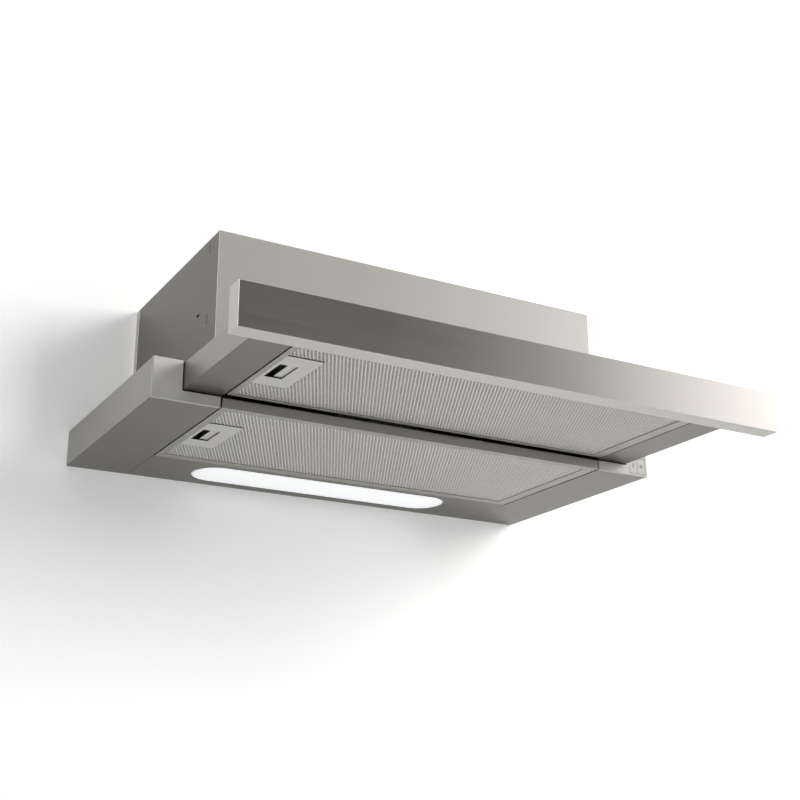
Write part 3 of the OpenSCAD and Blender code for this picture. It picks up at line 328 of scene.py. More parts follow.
def brushed(name, base, roughness, grain, metallic=1.0):
    """Brushed sheet: fine streaks along the grain, with faint handling blotches."""
    made = Finish(name, base, roughness, metallic)
    streaks = made.noise(420, detail=5, stretch=grain, grit=0.7)
    fine = made.noise(1900, detail=2, stretch=grain)
    blotches = made.noise(5)
    made.tint(streaks, 0.955, 1.04)
    made.rough(made.sum(made.spread(streaks, 0.1, 0.4), made.spread(blotches, 0.1, 0.4)), 0.025)
    made.bump(streaks, 0.007 * MM, 0.5)
    made.bump(fine, 0.005 * MM, 0.5)
    return made.material


def spangled(name, base, roughness):
    """Zinc-coated steel: pale flowers of a few millimetres, and rolling marks."""
    made = Finish(name, base, roughness, 1.0)
    flowers = made.cells(190)
    grain = made.noise(700, stretch=(0.05, 1, 1))
    made.tint(flowers.outputs["Color"], 0.86, 1.1)
    made.rough(grain, 0.07)
    made.bump(grain, 0.01 * MM, 0.4)
    return made.material


def moulded(name, base, roughness, metallic=0.0, **sockets):
    """Moulded or painted plastic: fine grain in the skin and a faint unevenness of tone."""
    made = Finish(name, base, roughness, metallic, **sockets)
    skin = made.noise(2600, detail=2)
    tone = made.noise(45, detail=4)
    made.tint(made.sum(made.spread(skin, 0.0, 0.5), made.spread(tone, 0.0, 0.5)), 0.95, 1.04)
    made.rough(tone, 0.05)
    made.bump(skin, 0.012 * MM, 0.5)
    return made.material


def pressed_aluminium(name, base, roughness, metallic=1.0):
    """Thin rolled aluminium: soft rolling marks and small dents."""
    made = Finish(name, base, roughness, metallic)
    rolled = made.noise(300, detail=4, stretch=ALONG_X, grit=0.6)
    dents = made.noise(60, detail=2)
    made.tint(rolled, 0.92, 1.06)
    made.rough(dents, 0.06)
    made.bump(rolled, 0.012 * MM, 0.5)
    made.bump(dents, 0.05 * MM, 0.3)
    return made.material


def knitted(name, base, roughness):
    """Pad of knitted foil: crossing strands, with painted shade in the pockets between them."""
    made = Finish(name, base, roughness, 0.5)
    strands = made.noise(900, detail=4, stretch=(1, 0.3, 1), grit=0.7)
    pocket_shade = made.noise(320)
    made.tint(made.sum(made.spread(strands, 0.0, 0.5), made.spread(pocket_shade, 0.0, 0.5)), 0.35, 1.35)
    made.rough(pocket_shade, 0.12)
    made.bump(strands, 0.25 * MM, 0.8)
    return made.material


# The lens' glow at its ends and along its rims, and where it fades, as shares of the half size
END_GLOW, END_FADE = 0.35, (0.93, 0.985)
RIM_GLOW, RIM_FADE = 0.5, (0.86, 0.96)


def glowing_lens(name, base, strength):
    """Opal lens, lit from behind: evenly bright, a little dimmer at its ends and rim."""
    made = Finish(name, base, 0.28)
    lo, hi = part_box("lamp_lens")
    half = (hi - lo) / 2
    shift = made.add("ShaderNodeVectorMath", operation="SUBTRACT")
    made.tree.links.new(made.place, shift.inputs[0])
    shift.inputs[1].default_value = (lo + hi) / 2
    parts = made.add("ShaderNodeSeparateXYZ", Vector=shift.outputs[0])
    from_middle = math_node(made.tree, "ABSOLUTE", parts.outputs["X"])
    from_axis = math_node(made.tree, "ABSOLUTE", parts.outputs["Y"])
    ends = made.spread(from_middle, 1.0, END_GLOW, *[half.x * part for part in END_FADE])
    rims = made.spread(from_axis, 1.0, RIM_GLOW, *[half.y * part for part in RIM_FADE])
    ripple = made.spread(made.noise(70, detail=2), 0.97, 1.0)
    body = math_node(made.tree, "MULTIPLY", ends, ripple)
    glow = math_node(made.tree, "MULTIPLY", body, rims)
    tone = made.add("ShaderNodeVectorMath", operation="SCALE")
    tone.inputs[0].default_value = base
    made.tree.links.new(glow, tone.inputs["Scale"])
    made.tree.links.new(tone.outputs[0], made.shader.inputs["Emission Color"])
    made.shader.inputs["Emission Strength"].default_value = strength
    made.bump(made.noise(900, detail=2), 0.01 * MM, 0.4)
    return made.material


def printed(name, base):
    """Screen-printed ink with an uneven edge of tone."""
    made = Finish(name, base, 0.5)
    made.tint(made.noise(3000, detail=2), 0.7, 1.6)
    made.bump(made.noise(2500, detail=2), 0.004 * MM, 0.4)
    return made.material


def circuit(name, base):
    """Circuit board: lacquer over tracks that show as a paler pattern."""
    made = Finish(name, base, 0.35)
    tracks = made.cells(420, "DISTANCE_TO_EDGE")
    made.tint(made.spread(tracks.outputs[0], 1.0, 0.0, 0.02, 0.06), 0.8, 2.6)
    made.bump(tracks.outputs[0], 0.03 * MM, 0.4)
    return made.material


def cast(name, base, roughness, metallic):
    """Painted or sintered metal with a pebbled skin."""
    made = Finish(name, base, roughness, metallic)
    pebbles = made.noise(1300, detail=4, grit=0.7)
    made.tint(pebbles, 0.85, 1.12)
    made.rough(pebbles, 0.08)
    made.bump(pebbles, 0.05 * MM, 0.5)
    return made.material


def recipes():
    """Each finish's maker, colour and other settings."""
    tone = bpy.context.scene.hood_colours
    glow = bpy.context.scene.hood_light.lens_strength
    return {
        "steel_along_x": (brushed, tone.steel, dict(roughness=0.33, grain=ALONG_X)),
        # The frame and channel finishes are one steel in a shaded and a lit tone, the casing's side
        # finish is the casing steel in a shaded tone, and the hem finish is the fascia's steel in a
        # lit tone: painted shade and painted light
        "frame_along_x": (brushed, tone.under, dict(roughness=0.36, grain=ALONG_X)),
        "frame_along_y": (brushed, tone.under, dict(roughness=0.36, grain=ALONG_Y)),
        "casing_steel": (brushed, tone.casing, dict(roughness=0.52, grain=ALONG_X)),
        "casing_flank": (brushed, tone.flank, dict(roughness=0.5, grain=ALONG_Y)),
        "channel_steel": (brushed, tone.rail, dict(roughness=0.38, grain=ALONG_Y)),
        "satin_hem": (brushed, tone.hem, dict(roughness=0.55, grain=ALONG_X, metallic=0.6)),
        "zinc_coated": (spangled, tone.zinc, dict(roughness=0.42)),
        "filter_frame": (pressed_aluminium, tone.edging, dict(roughness=0.48)),
        "filter_strand": (pressed_aluminium, tone.aluminium, dict(roughness=0.40, metallic=0.5)),
        "filter_wool": (knitted, tone.wool, dict(roughness=0.60)),
        "silver_satin": (moulded, tone.silver, dict(roughness=0.55, Specular_IOR_Level=0.15)),
        "latch_satin": (moulded, tone.latch, dict(roughness=0.42, metallic=0.55)),
        "black_satin": (moulded, tone.black, dict(roughness=0.45)),
        "white_moulded": (moulded, tone.white, dict(roughness=0.5)),
        "red_moulded": (moulded, tone.red, dict(roughness=0.4)),
        "opal": (glowing_lens, tone.lens, dict(strength=glow)),
        "tube_white": (moulded, tone.tube, dict(roughness=0.15, Coat_Weight=0.6)),
        "reflector_enamel": (moulded, tone.enamel, dict(roughness=0.25)),
        "motor_paint": (cast, tone.motor, dict(roughness=0.45, metallic=0.6)),
        "sintered_bronze": (cast, tone.bronze, dict(roughness=0.45, metallic=1.0)),
        "rubber": (cast, tone.rubber, dict(roughness=0.75, metallic=0.0)),
        "board_lacquer": (circuit, tone.board, {}),
        "print_ink": (printed, tone.ink, {}),
    }


FINISHES = {}


def finish(name):
    """The material of that name, made the first time it is asked for."""
    if name not in FINISHES:
        maker, base, settings = recipes()[name]
        FINISHES[name] = maker(name, base, **settings)
    return FINISHES[name]


# Making pieces


def box_in_mm(node):
    """The lower and the upper corner of a CAD node's box, in millimetres."""
    lo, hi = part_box(node)
    return lo / MM, hi / MM


def edges(runs=None, **places):
    """A test of an edge's two ends: runs along that axis, both ends at one of the places.

    The axis is x, y or z, and places are lists of millimetres, such as z=[low]."""

    def wanted(a, b):
        along = b - a
        if runs and abs(getattr(along, runs)) <= STRAIGHT * along.length:
            return False
        return all(
            any(abs(getattr(end, axis) - place) < SAME_PLACE for place in choices)
            for axis, choices in places.items()
            for end in (a, b)
        )

    return wanted


def either(first, second):
    """A test that passes where one of two tests does."""
    return lambda a, b: first(a, b) or second(a, b)


def without(first, second):
    """A test that passes where the first of two tests does and the second doesn't."""
    return lambda a, b: first(a, b) and not second(a, b)


def flat_solid(node):
    """A bmesh copy of a CAD node, with its triangles merged into flat faces."""
    bm = bmesh.new()
    bm.from_mesh(NODES[node].data)
    bmesh.ops.remove_doubles(bm, verts=bm.verts[:], dist=MERGE_DISTANCE)
    bmesh.ops.dissolve_limit(
        bm,
        angle_limit=FLAT_ANGLE,
        verts=bm.verts[:],
        edges=bm.edges[:],
        use_dissolve_boundaries=False,
    )
    for face in bm.faces:
        curved = any(CURVED_ANGLE < e.calc_face_angle(0) < SHARP_ANGLE for e in face.edges)
        face.smooth = curved and face.calc_area() < LARGE_FACE
    return bm


def soften(bm, radius, wanted, segments, shortest):
    """Rounds the outer edges that a test of their two ends picks."""
    if radius <= 0:
        return
    bm.normal_update()
    picked = [
        e
        for e in bm.edges
        if e.is_manifold
        and e.is_convex
        and e.calc_face_angle(0) > FOLD_ANGLE
        and e.calc_length() > shortest
        and wanted(e.verts[0].co / MM, e.verts[1].co / MM)
    ]
    if not picked:
        return
    made = bmesh.ops.bevel(
        bm,
        geom=picked,
        offset=radius,
        offset_type="OFFSET",
        segments=segments,
        profile=0.5,
        material=-1,
        affect="EDGES",
        clamp_overlap=True,
    )
    for face in made["faces"]:
        face.smooth = True


def fold(radius, wanted, segments=3, shortest=SHORT_EDGE):
    """A rounding: radius, test of an edge's two ends, number of facets and shortest edge."""
    return radius, wanted, segments, shortest


def fine_edges(part=1.0, segments=2):
    """The rounding of all the edges that no fold has taken, by a part of the edge radius."""
    return fold(bpy.context.scene.hood_sizes.edge_radius * part, edges(), segments)


def settle(name, bm, body, finishes):
    """Makes an object of a bmesh and sets it on its body."""
    bm.normal_update()
    for edge in bm.edges:
        edge.smooth = edge.calc_face_angle(0) < SHARP_ANGLE
    mesh = bpy.data.meshes.new(name)
    bm.to_mesh(mesh)
    bm.free()
    for each in finishes:
        mesh.materials.append(finish(each))
    piece = bpy.data.objects.new(name, mesh)
    bpy.context.scene.collection.objects.link(piece)
    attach(piece, body)
    return piece


def stand_in(node, name, bm, finishes):
    """Makes an object of a bmesh and stands it in a CAD node's place."""
    piece = settle(name, bm, NODES[node]["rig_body"], finishes)
    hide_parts(node)
    return piece


def dress(node, name, finishes, *folds):
    """Stands a copy of a CAD node in its place, with its edges rounded fold by fold."""
    bm = flat_solid(node)
    for each in folds:
        soften(bm, *each)
    return stand_in(node, name, bm, finishes)


def second_finish(piece, test):
    """Gives the piece's second finish to the faces that a test of centre and normal picks."""
    for polygon in piece.data.polygons:
        if test(polygon.center / MM, polygon.normal):
            polygon.material_index = 1


def sideways(centre, normal):
    """Whether a face looks to the left or the right."""
    return abs(normal.x) > 0.9


def downwards(centre, normal):
    """Whether a face looks down."""
    return normal.z < -0.7


def away_from_front(centre, normal):
    """Whether a face looks anywhere but to the front."""
    return normal.y > -0.7


def above(level):
    """A test for faces above a level in millimetres."""
    return lambda centre, normal: centre.z > level


def paint(material, *nodes):
    """Gives CAD nodes that stay a finish."""
    for node in nodes:
        mesh = NODES[node].data
        mesh.materials.clear()
        mesh.materials.append(finish(material))
        for polygon in mesh.polygons:
            polygon.use_smooth = False


# Stage

# The room in metres: the wall stands just behind the hood, the floor well below it
WALL_Y = 0.5 * MM
FLOOR_Z = -0.75
ROOM_LEFT, ROOM_RIGHT = -4.0, 6.0
ROOM_FRONT, ROOM_TOP = -6.0, 4.0
# A shorter ray than this has started between the hood and the sheet, and passes the sheet
HOOD_TO_SHEET = 3 * MM

HOOD_MIDDLE = Vector((0, -0.25, 0.08))
WARM_WHITE = (1.0, 0.99, 0.975)
COOL_WHITE = (0.91, 0.93, 1.0)
ROOM_WHITE = (0.96, 0.985, 1.0)

CARD_PLACE = Vector((0.75, -2.6, 0.85))
CARD_AIM = Vector((0.0, -0.4, 0.1))
CARD_SIDE = 1.7
CARD_GREY = 0.10

CAMERA_PLACE = Vector((-0.67824, -1.41038, -0.39649))
CAMERA_TURN = math.radians(29.83)
CAMERA_RISE = math.radians(18.53)
CAMERA_ROLL = math.radians(-0.18)
FOCAL_LENGTH = 58.96
SENSOR_WIDTH = 36


def emptied_tree(owner):
    """The node tree of a material or world, with nothing in it."""
    owner.use_nodes = True
    owner.node_tree.nodes.clear()
    return owner.node_tree


def seen_rays(tree, path):
    """One for rays from the camera, from a glossy surface or through glass, and else none."""
    seen = path.outputs["Is Camera Ray"]
    for other in ("Is Glossy Ray", "Is Transmission Ray"):
        seen = math_node(tree, "MAXIMUM", seen, path.outputs[other])
    return seen


def mixed(tree, amount, first, second):
    """The mix of two shaders, all of the second where the amount is one."""
    made = tree.nodes.new("ShaderNodeMixShader")
    for socket, value in zip(made.inputs, (amount, first.outputs[0], second.outputs[0])):
        tree.links.new(value, socket)
    return made.outputs[0]


def sheet_paint(name, glow, base):
    """Matt paint that shows paler than it is lit, and is clear from behind and close to."""
    material = bpy.data.materials.new(name)
    tree = emptied_tree(material)
    path = tree.nodes.new("ShaderNodeLightPath")
    matt = tree.nodes.new("ShaderNodeBsdfDiffuse")
    matt.inputs["Color"].default_value = (*base, 1)
    shine = tree.nodes.new("ShaderNodeEmission")
    shine.inputs["Color"].default_value = (1, 1, 1, 1)
    strength = math_node(tree, "MULTIPLY", seen_rays(tree, path), glow)
    tree.links.new(strength, shine.inputs["Strength"])
    together = tree.nodes.new("ShaderNodeAddShader")
    tree.links.new(matt.outputs[0], together.inputs[0])
    tree.links.new(shine.outputs[0], together.inputs[1])
    geometry = tree.nodes.new("ShaderNodeNewGeometry")
    near = math_node(tree, "LESS_THAN", path.outputs["Ray Length"], HOOD_TO_SHEET)
    passed = math_node(tree, "MAXIMUM", geometry.outputs["Backfacing"], near)
    clear = tree.nodes.new("ShaderNodeBsdfTransparent")
    out = tree.nodes.new("ShaderNodeOutputMaterial")
    tree.links.new(mixed(tree, passed, together, clear), out.inputs["Surface"])
    return material


def stage_sheet(name, corner, across, onward, glow, base):
    """A wall or floor that spans two directions from a corner and faces the hood."""
    bm = bmesh.new()
    places = (corner, corner + across, corner + across + onward, corner + onward)
    bm.faces.new([bm.verts.new(place) for place in places])
    mesh = bpy.data.meshes.new(name)
    bm.to_mesh(mesh)
    bm.free()
    mesh.materials.append(sheet_paint(name + "_paint", glow, base))
    sheet = bpy.data.objects.new(name, mesh)
    bpy.context.scene.collection.objects.link(sheet)


def room_light(fill):
    """White room: seen as white, and softer and cooler where it lights matt surfaces."""
    world = bpy.data.worlds.new("room")
    bpy.context.scene.world = world
    tree = emptied_tree(world)
    white = tree.nodes.new("ShaderNodeBackground")
    white.inputs["Color"].default_value = (1, 1, 1, 1)
    soft = tree.nodes.new("ShaderNodeBackground")
    soft.inputs["Color"].default_value = (*ROOM_WHITE, 1)
    soft.inputs["Strength"].default_value = fill
    path = tree.nodes.new("ShaderNodeLightPath")
    out = tree.nodes.new("ShaderNodeOutputWorld")
    tree.links.new(mixed(tree, seen_rays(tree, path), soft, white), out.inputs["Surface"])


def square_lamp(name, prefix, tint=WARM_WHITE):
    """Square lamp turned to the hood, with the panel's values of that prefix."""
    light = bpy.context.scene.hood_light
    turn = getattr(light, prefix + "_turn")
    rise = getattr(light, prefix + "_rise")
    distance = getattr(light, prefix + "_distance")
    data = bpy.data.lights.new(name, "AREA")
    data.shape = "SQUARE"
    data.size = getattr(light, prefix + "_width")
    data.energy = getattr(light, prefix + "_power")
    data.color = tint
    lamp = bpy.data.objects.new(name, data)
    bpy.context.scene.collection.objects.link(lamp)
    lamp.visible_camera = False
    away = Vector(
        (math.sin(turn) * math.cos(rise), -math.cos(turn) * math.cos(rise), math.sin(rise))
    )
    facing = away.to_track_quat("Z", "Y").to_matrix().to_4x4()
    lamp.matrix_world = Matrix.Translation(HOOD_MIDDLE + away * distance) @ facing
    return lamp


def mirrored_card(name, centre, aim, side, grey):
    """Square matt card that shows in nothing but the steel's reflections."""
    bm = bmesh.new()
    bmesh.ops.create_grid(bm, x_segments=1, y_segments=1, size=side / 2)
    facing = (aim - centre).to_track_quat("Z", "Y").to_matrix()
    bmesh.ops.rotate(bm, cent=(0, 0, 0), matrix=facing, verts=bm.verts[:])
    bmesh.ops.translate(bm, vec=centre, verts=bm.verts[:])
    mesh = bpy.data.meshes.new(name)
    bm.to_mesh(mesh)
    bm.free()
    material = bpy.data.materials.new(name + "_felt")
    material.use_nodes = True
    shader = material.node_tree.nodes["Principled BSDF"]
    shader.inputs["Base Color"].default_value = (grey, grey, grey, 1)
    shader.inputs["Roughness"].default_value = 1.0
    shader.inputs["Specular IOR Level"].default_value = 0.0
    mesh.materials.append(material)
    card = bpy.data.objects.new(name, mesh)
    bpy.context.scene.collection.objects.link(card)
    card.visible_camera = False
    card.visible_diffuse = False
    card.visible_shadow = False
    card.visible_transmission = False


def camera():
    """Camera at the photograph's angle, below and to the left of the hood."""
    data = bpy.data.cameras.new("camera")
    data.lens = FOCAL_LENGTH
    data.sensor_width = SENSOR_WIDTH
    data.sensor_fit = "HORIZONTAL"
    data.clip_end = 50
    eye = bpy.data.objects.new("camera", data)
    bpy.context.scene.collection.objects.link(eye)
    ahead = Vector(
        (
            math.sin(CAMERA_TURN) * math.cos(CAMERA_RISE),
            math.cos(CAMERA_TURN) * math.cos(CAMERA_RISE),
            math.sin(CAMERA_RISE),
        )
    )
    level = ahead.cross(Vector((0, 0, 1))).normalized()
    upright = level.cross(ahead)
    right = math.cos(CAMERA_ROLL) * level + math.sin(CAMERA_ROLL) * upright
    up = math.cos(CAMERA_ROLL) * upright - math.sin(CAMERA_ROLL) * level
    turn = Matrix((right, up, -ahead)).transposed().to_4x4()
    eye.matrix_world = Matrix.Translation(CAMERA_PLACE) @ turn
    bpy.context.scene.camera = eye


class HOOD_OT_stage(bpy.types.Operator):
    """Sets up the wall, the floor, the lights and the camera"""

    bl_idname = "hood.stage"
    bl_label = "Stage"

    def execute(self, context):
        light = context.scene.hood_light
        tones = context.scene.hood_colours
        corner = Vector((ROOM_LEFT, WALL_Y, FLOOR_Z))
        width = Vector((ROOM_RIGHT - ROOM_LEFT, 0, 0))
        height = Vector((0, 0, ROOM_TOP - FLOOR_Z))
        depth = Vector((0, WALL_Y - ROOM_FRONT, 0))
        stage_sheet("wall", corner, width, height, light.wall_glow, tones.wall)
        stage_sheet("floor", corner - depth, width, depth, light.floor_glow, tones.floor)
        room_light(light.room_fill)
        square_lamp("key", "key").visible_glossy = False
        square_lamp("soft_box", "box", COOL_WHITE).visible_diffuse = False
        square_lamp("edge_lamp", "edge").visible_diffuse = False
        mirrored_card("front_card", CARD_PLACE, CARD_AIM, CARD_SIDE, CARD_GREY)
        camera()
        context.scene.view_settings.view_transform = "Standard"
        return {"FINISHED"}


# Pieces

# Shares of the fold radius
CASING_FOLD = 0.5
TRAY_FOLD, TRAY_END_FOLD, TRAY_EDGE = 0.7, 0.6, 0.8
CHANNEL_FOLD = 0.8

# Millimetres of the solids: gap round a button, depth of a latch plate's face, and the finger
# tab's reach and thickness, measured to just off its faces
BUTTON_GAP = 0.3
PLATE_FACE = 0.5
TAB_REACH = 9.6
TAB_DEPTH = 1.6


class HOOD_OT_casing(bpy.types.Operator):
    """Dresses the casing's front and sides, its back and its roof"""

    bl_idname = "hood.casing"
    bl_label = "Casing"

    def execute(self, context):
        s = context.scene.hood_sizes
        lo, hi = box_in_mm("casing_shell")
        front_corners = edges("z", x=[lo.x, hi.x], y=[lo.y])
        sheet = dress(
            "casing_shell",
            "casing_sheet",
            ["casing_steel", "casing_flank"],
            fold(s.fold_radius * CASING_FOLD, front_corners, s.fold_segments),
            fine_edges(),
        )
        # The casing's sides get the darker side tone, which is painted shade
        second_finish(sheet, sideways)
        for node in ("casing_back", "casing_roof"):
            dress(node, node + "_sheet", ["casing_steel"], fine_edges())
        return {"FINISHED"}


class HOOD_OT_arms(bpy.types.Operator):
    """Dresses the two arms, the plate between them and the strip round the lamp"""

    bl_idname = "hood.arms"
    bl_label = "Arms"

    def execute(self, context):
        s = context.scene.hood_sizes
        for node in ("left_arm", "right_arm"):
            lo, hi = box_in_mm(node)
            outside = max(-lo.x, hi.x)
            lower = edges("y", z=[lo.z])
            upper = edges("y", x=[-outside, outside], z=[hi.z])
            sheet = dress(
                node,
                node + "_sheet",
                ["frame_along_y", "channel_steel"],
                fold(s.fold_radius, either(lower, upper), s.fold_segments, LONG_FOLD),
                fine_edges(),
            )
            # The sides take the lighter tone and all other faces the darker one: painted light and
            # painted shade on one steel
            second_finish(sheet, sideways)
        dress("frame_top_plate", "top_plate_sheet", ["steel_along_x"], fine_edges())
        # The strip takes the darker frame tone all over, which is painted shade
        lo = box_in_mm("rear_tray")[0]
        dress(
            "rear_tray",
            "rear_tray_sheet",
            ["frame_along_x"],
            fold(s.fold_radius * TRAY_FOLD, edges("x", y=[lo.y], z=[lo.z])),
            fold(s.fold_radius * TRAY_END_FOLD, edges("y", z=[lo.z])),
            fine_edges(TRAY_EDGE),
        )
        return {"FINISHED"}


class HOOD_OT_caps(bpy.types.Operator):
    """Dresses the two moulded caps in front of the arms"""

    bl_idname = "hood.caps"
    bl_label = "Caps"

    def execute(self, context):
        s = context.scene.hood_sizes
        window_left = box_in_mm("button_one")[0].x - BUTTON_GAP
        window_right = box_in_mm("button_lamp")[1].x + BUTTON_GAP
        at_window = edges(x=[window_left, window_right])
        for node, name in (("left_arm_cap", "left_cap"), ("control_panel", "control_cap")):
            at_front = edges(y=[box_in_mm(node)[0].y])
            front_edges = without(at_front, at_window)
            face_fold = fold(s.cap_radius, front_edges, s.fold_segments, ARC_FACET)
            dress(node, name, ["silver_satin"], face_fold, fine_edges())
        return {"FINISHED"}


# Height of a capital letter as a share of the font's size
CAPITAL_SHARE = 0.69
# Shares of the sign's height
LAMP_DISC = 0.2
RAY_LENGTH, RAY_WIDTH, RAY_PLACE = 0.2, 0.07, 0.42
RAYS = 8


def face_front(bm, node):
    """Turns a flat sign to the front and centres it on a button's face."""
    lo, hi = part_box(node)
    upright = Matrix.Rotation(math.pi / 2, 3, "X")
    bmesh.ops.rotate(bm, cent=(0, 0, 0), matrix=upright, verts=bm.verts[:])
    xs = [v.co.x for v in bm.verts]
    zs = [v.co.z for v in bm.verts]
    middle = Vector(((min(xs) + max(xs)) / 2, 0, (min(zs) + max(zs)) / 2))
    face = Vector(((lo.x + hi.x) / 2, lo.y, (lo.z + hi.z) / 2))
    bmesh.ops.translate(bm, vec=face - middle, verts=bm.verts[:])


def legend(text, node, height, thickness):
    """A printed number on the front of a button."""
    curve = bpy.data.curves.new("legend", "FONT")
    curve.body = text
    curve.align_x = "CENTER"
    curve.align_y = "CENTER"
    curve.size = height / CAPITAL_SHARE
    curve.extrude = thickness
    holder = bpy.data.objects.new("legend", curve)
    bpy.context.scene.collection.objects.link(holder)
    bpy.context.view_layer.update()
    graph = bpy.context.evaluated_depsgraph_get()
    mesh = bpy.data.meshes.new_from_object(holder.evaluated_get(graph))
    bpy.data.objects.remove(holder)
    bm = bmesh.new()
    bm.from_mesh(mesh)
    bpy.data.meshes.remove(mesh)
    bmesh.ops.remove_doubles(bm, verts=bm.verts[:], dist=PRINT_MERGE_DISTANCE)
    face_front(bm, node)
    return bm


def lamp_sign(node, height, thickness):
    """A small disc with eight rays, the sign for the light."""
    bm = bmesh.new()
    bmesh.ops.create_circle(bm, cap_ends=True, segments=24, radius=height * LAMP_DISC)
    for i in range(RAYS):
        ray = bmesh.ops.create_grid(bm, x_segments=1, y_segments=1, size=0.5)["verts"]
        bmesh.ops.scale(bm, vec=(height * RAY_LENGTH, height * RAY_WIDTH, 1), verts=ray)
        bmesh.ops.translate(bm, vec=(height * RAY_PLACE, 0, 0), verts=ray)
        turn = Matrix.Rotation(i * 2 * math.pi / RAYS, 3, "Z")
        bmesh.ops.rotate(bm, cent=(0, 0, 0), matrix=turn, verts=ray)
    raised = bmesh.ops.extrude_face_region(bm, geom=bm.faces[:])
    top = [v for v in raised["geom"] if isinstance(v, bmesh.types.BMVert)]
    bmesh.ops.translate(bm, vec=(0, 0, thickness), verts=top)
    bmesh.ops.translate(bm, vec=(0, 0, -thickness / 2), verts=bm.verts[:])
    bmesh.ops.recalc_face_normals(bm, faces=bm.faces[:])
    face_front(bm, node)
    return bm


class HOOD_OT_buttons(bpy.types.Operator):
    """Dresses the four buttons, prints their signs and finishes the circuit board"""

    bl_idname = "hood.buttons"
    bl_label = "Buttons"

    def execute(self, context):
        s = context.scene.hood_sizes
        numbers = {"button_one": "1", "button_two": "2", "button_three": "3"}
        for node in (*numbers, "button_lamp"):
            front_edges = edges(y=[box_in_mm(node)[0].y])
            face_fold = fold(s.button_radius, front_edges)
            dress(node, node + "_key", ["silver_satin"], face_fold, fine_edges())
            if node in numbers:
                bm = legend(numbers[node], node, s.legend_height, s.legend_thickness)
            else:
                bm = lamp_sign(node, s.legend_height, s.legend_thickness * 2)
            settle(node + "_print", bm, node, ["print_ink"])
        paint("board_lacquer", "control_board")
        return {"FINISHED"}


class HOOD_OT_lamp(bpy.types.Operator):
    """Dresses the lens and finishes the tube, the reflector and the holders"""

    bl_idname = "hood.lamp"
    bl_label = "Lamp"

    def execute(self, context):
        s = context.scene.hood_sizes
        lower_rim = edges(z=[box_in_mm("lamp_lens")[0].z])
        rim_fold = fold(s.lens_radius, lower_rim, shortest=ARC_FACET)
        dress("lamp_lens", "lamp_lens_cover", ["opal"], rim_fold)
        paint("tube_white", "lamp_tube")
        paint("reflector_enamel", "lamp_reflector")
        paint("black_satin", "lamp_holders")
        return {"FINISHED"}


class HOOD_OT_drawer(bpy.types.Operator):
    """Dresses the drawer's side channels and its cover"""

    bl_idname = "hood.drawer"
    bl_label = "Drawer"

    def execute(self, context):
        s = context.scene.hood_sizes
        for side in ("left", "right"):
            node = "drawer_channel_" + side
            lower_folds = edges("y", z=[box_in_mm(node)[0].z])
            sheet = dress(
                node,
                side + "_channel_sheet",
                ["channel_steel", "frame_along_y"],
                fold(s.fold_radius * CHANNEL_FOLD, lower_folds, shortest=LONG_FOLD),
                fine_edges(),
            )
            # The undersides take the darker frame tone, painted shade, and the sides the lighter
            # tone, painted light
            second_finish(sheet, downwards)
        dress("drawer_cover", "drawer_cover_sheet", ["steel_along_x"], fine_edges())
        return {"FINISHED"}


class HOOD_OT_fascia(bpy.types.Operator):
    """Dresses the fascia and its back plate"""

    bl_idname = "hood.fascia"
    bl_label = "Fascia"

    def execute(self, context):
        s = context.scene.hood_sizes
        front_edges = edges(y=[box_in_mm("fascia")[0].y])
        sheet = dress(
            "fascia",
            "fascia_sheet",
            ["steel_along_x", "satin_hem"],
            fold(s.fascia_radius, front_edges, s.fold_segments),
            fine_edges(),
        )
        # The ends and underside get a rougher satin finish and a lighter tone, which is painted
        # light
        second_finish(sheet, away_from_front)
        back_edges = fine_edges(segments=1)
        dress("fascia_back_plate", "fascia_back_sheet", ["steel_along_x"], back_edges)
        return {"FINISHED"}


# Gap in metres that the woven mesh keeps from its node's outline
MESH_MARGIN = 0.3 * MM
# Thickness of a strand as a share of the node's height
STRAND_SHARE = 0.5


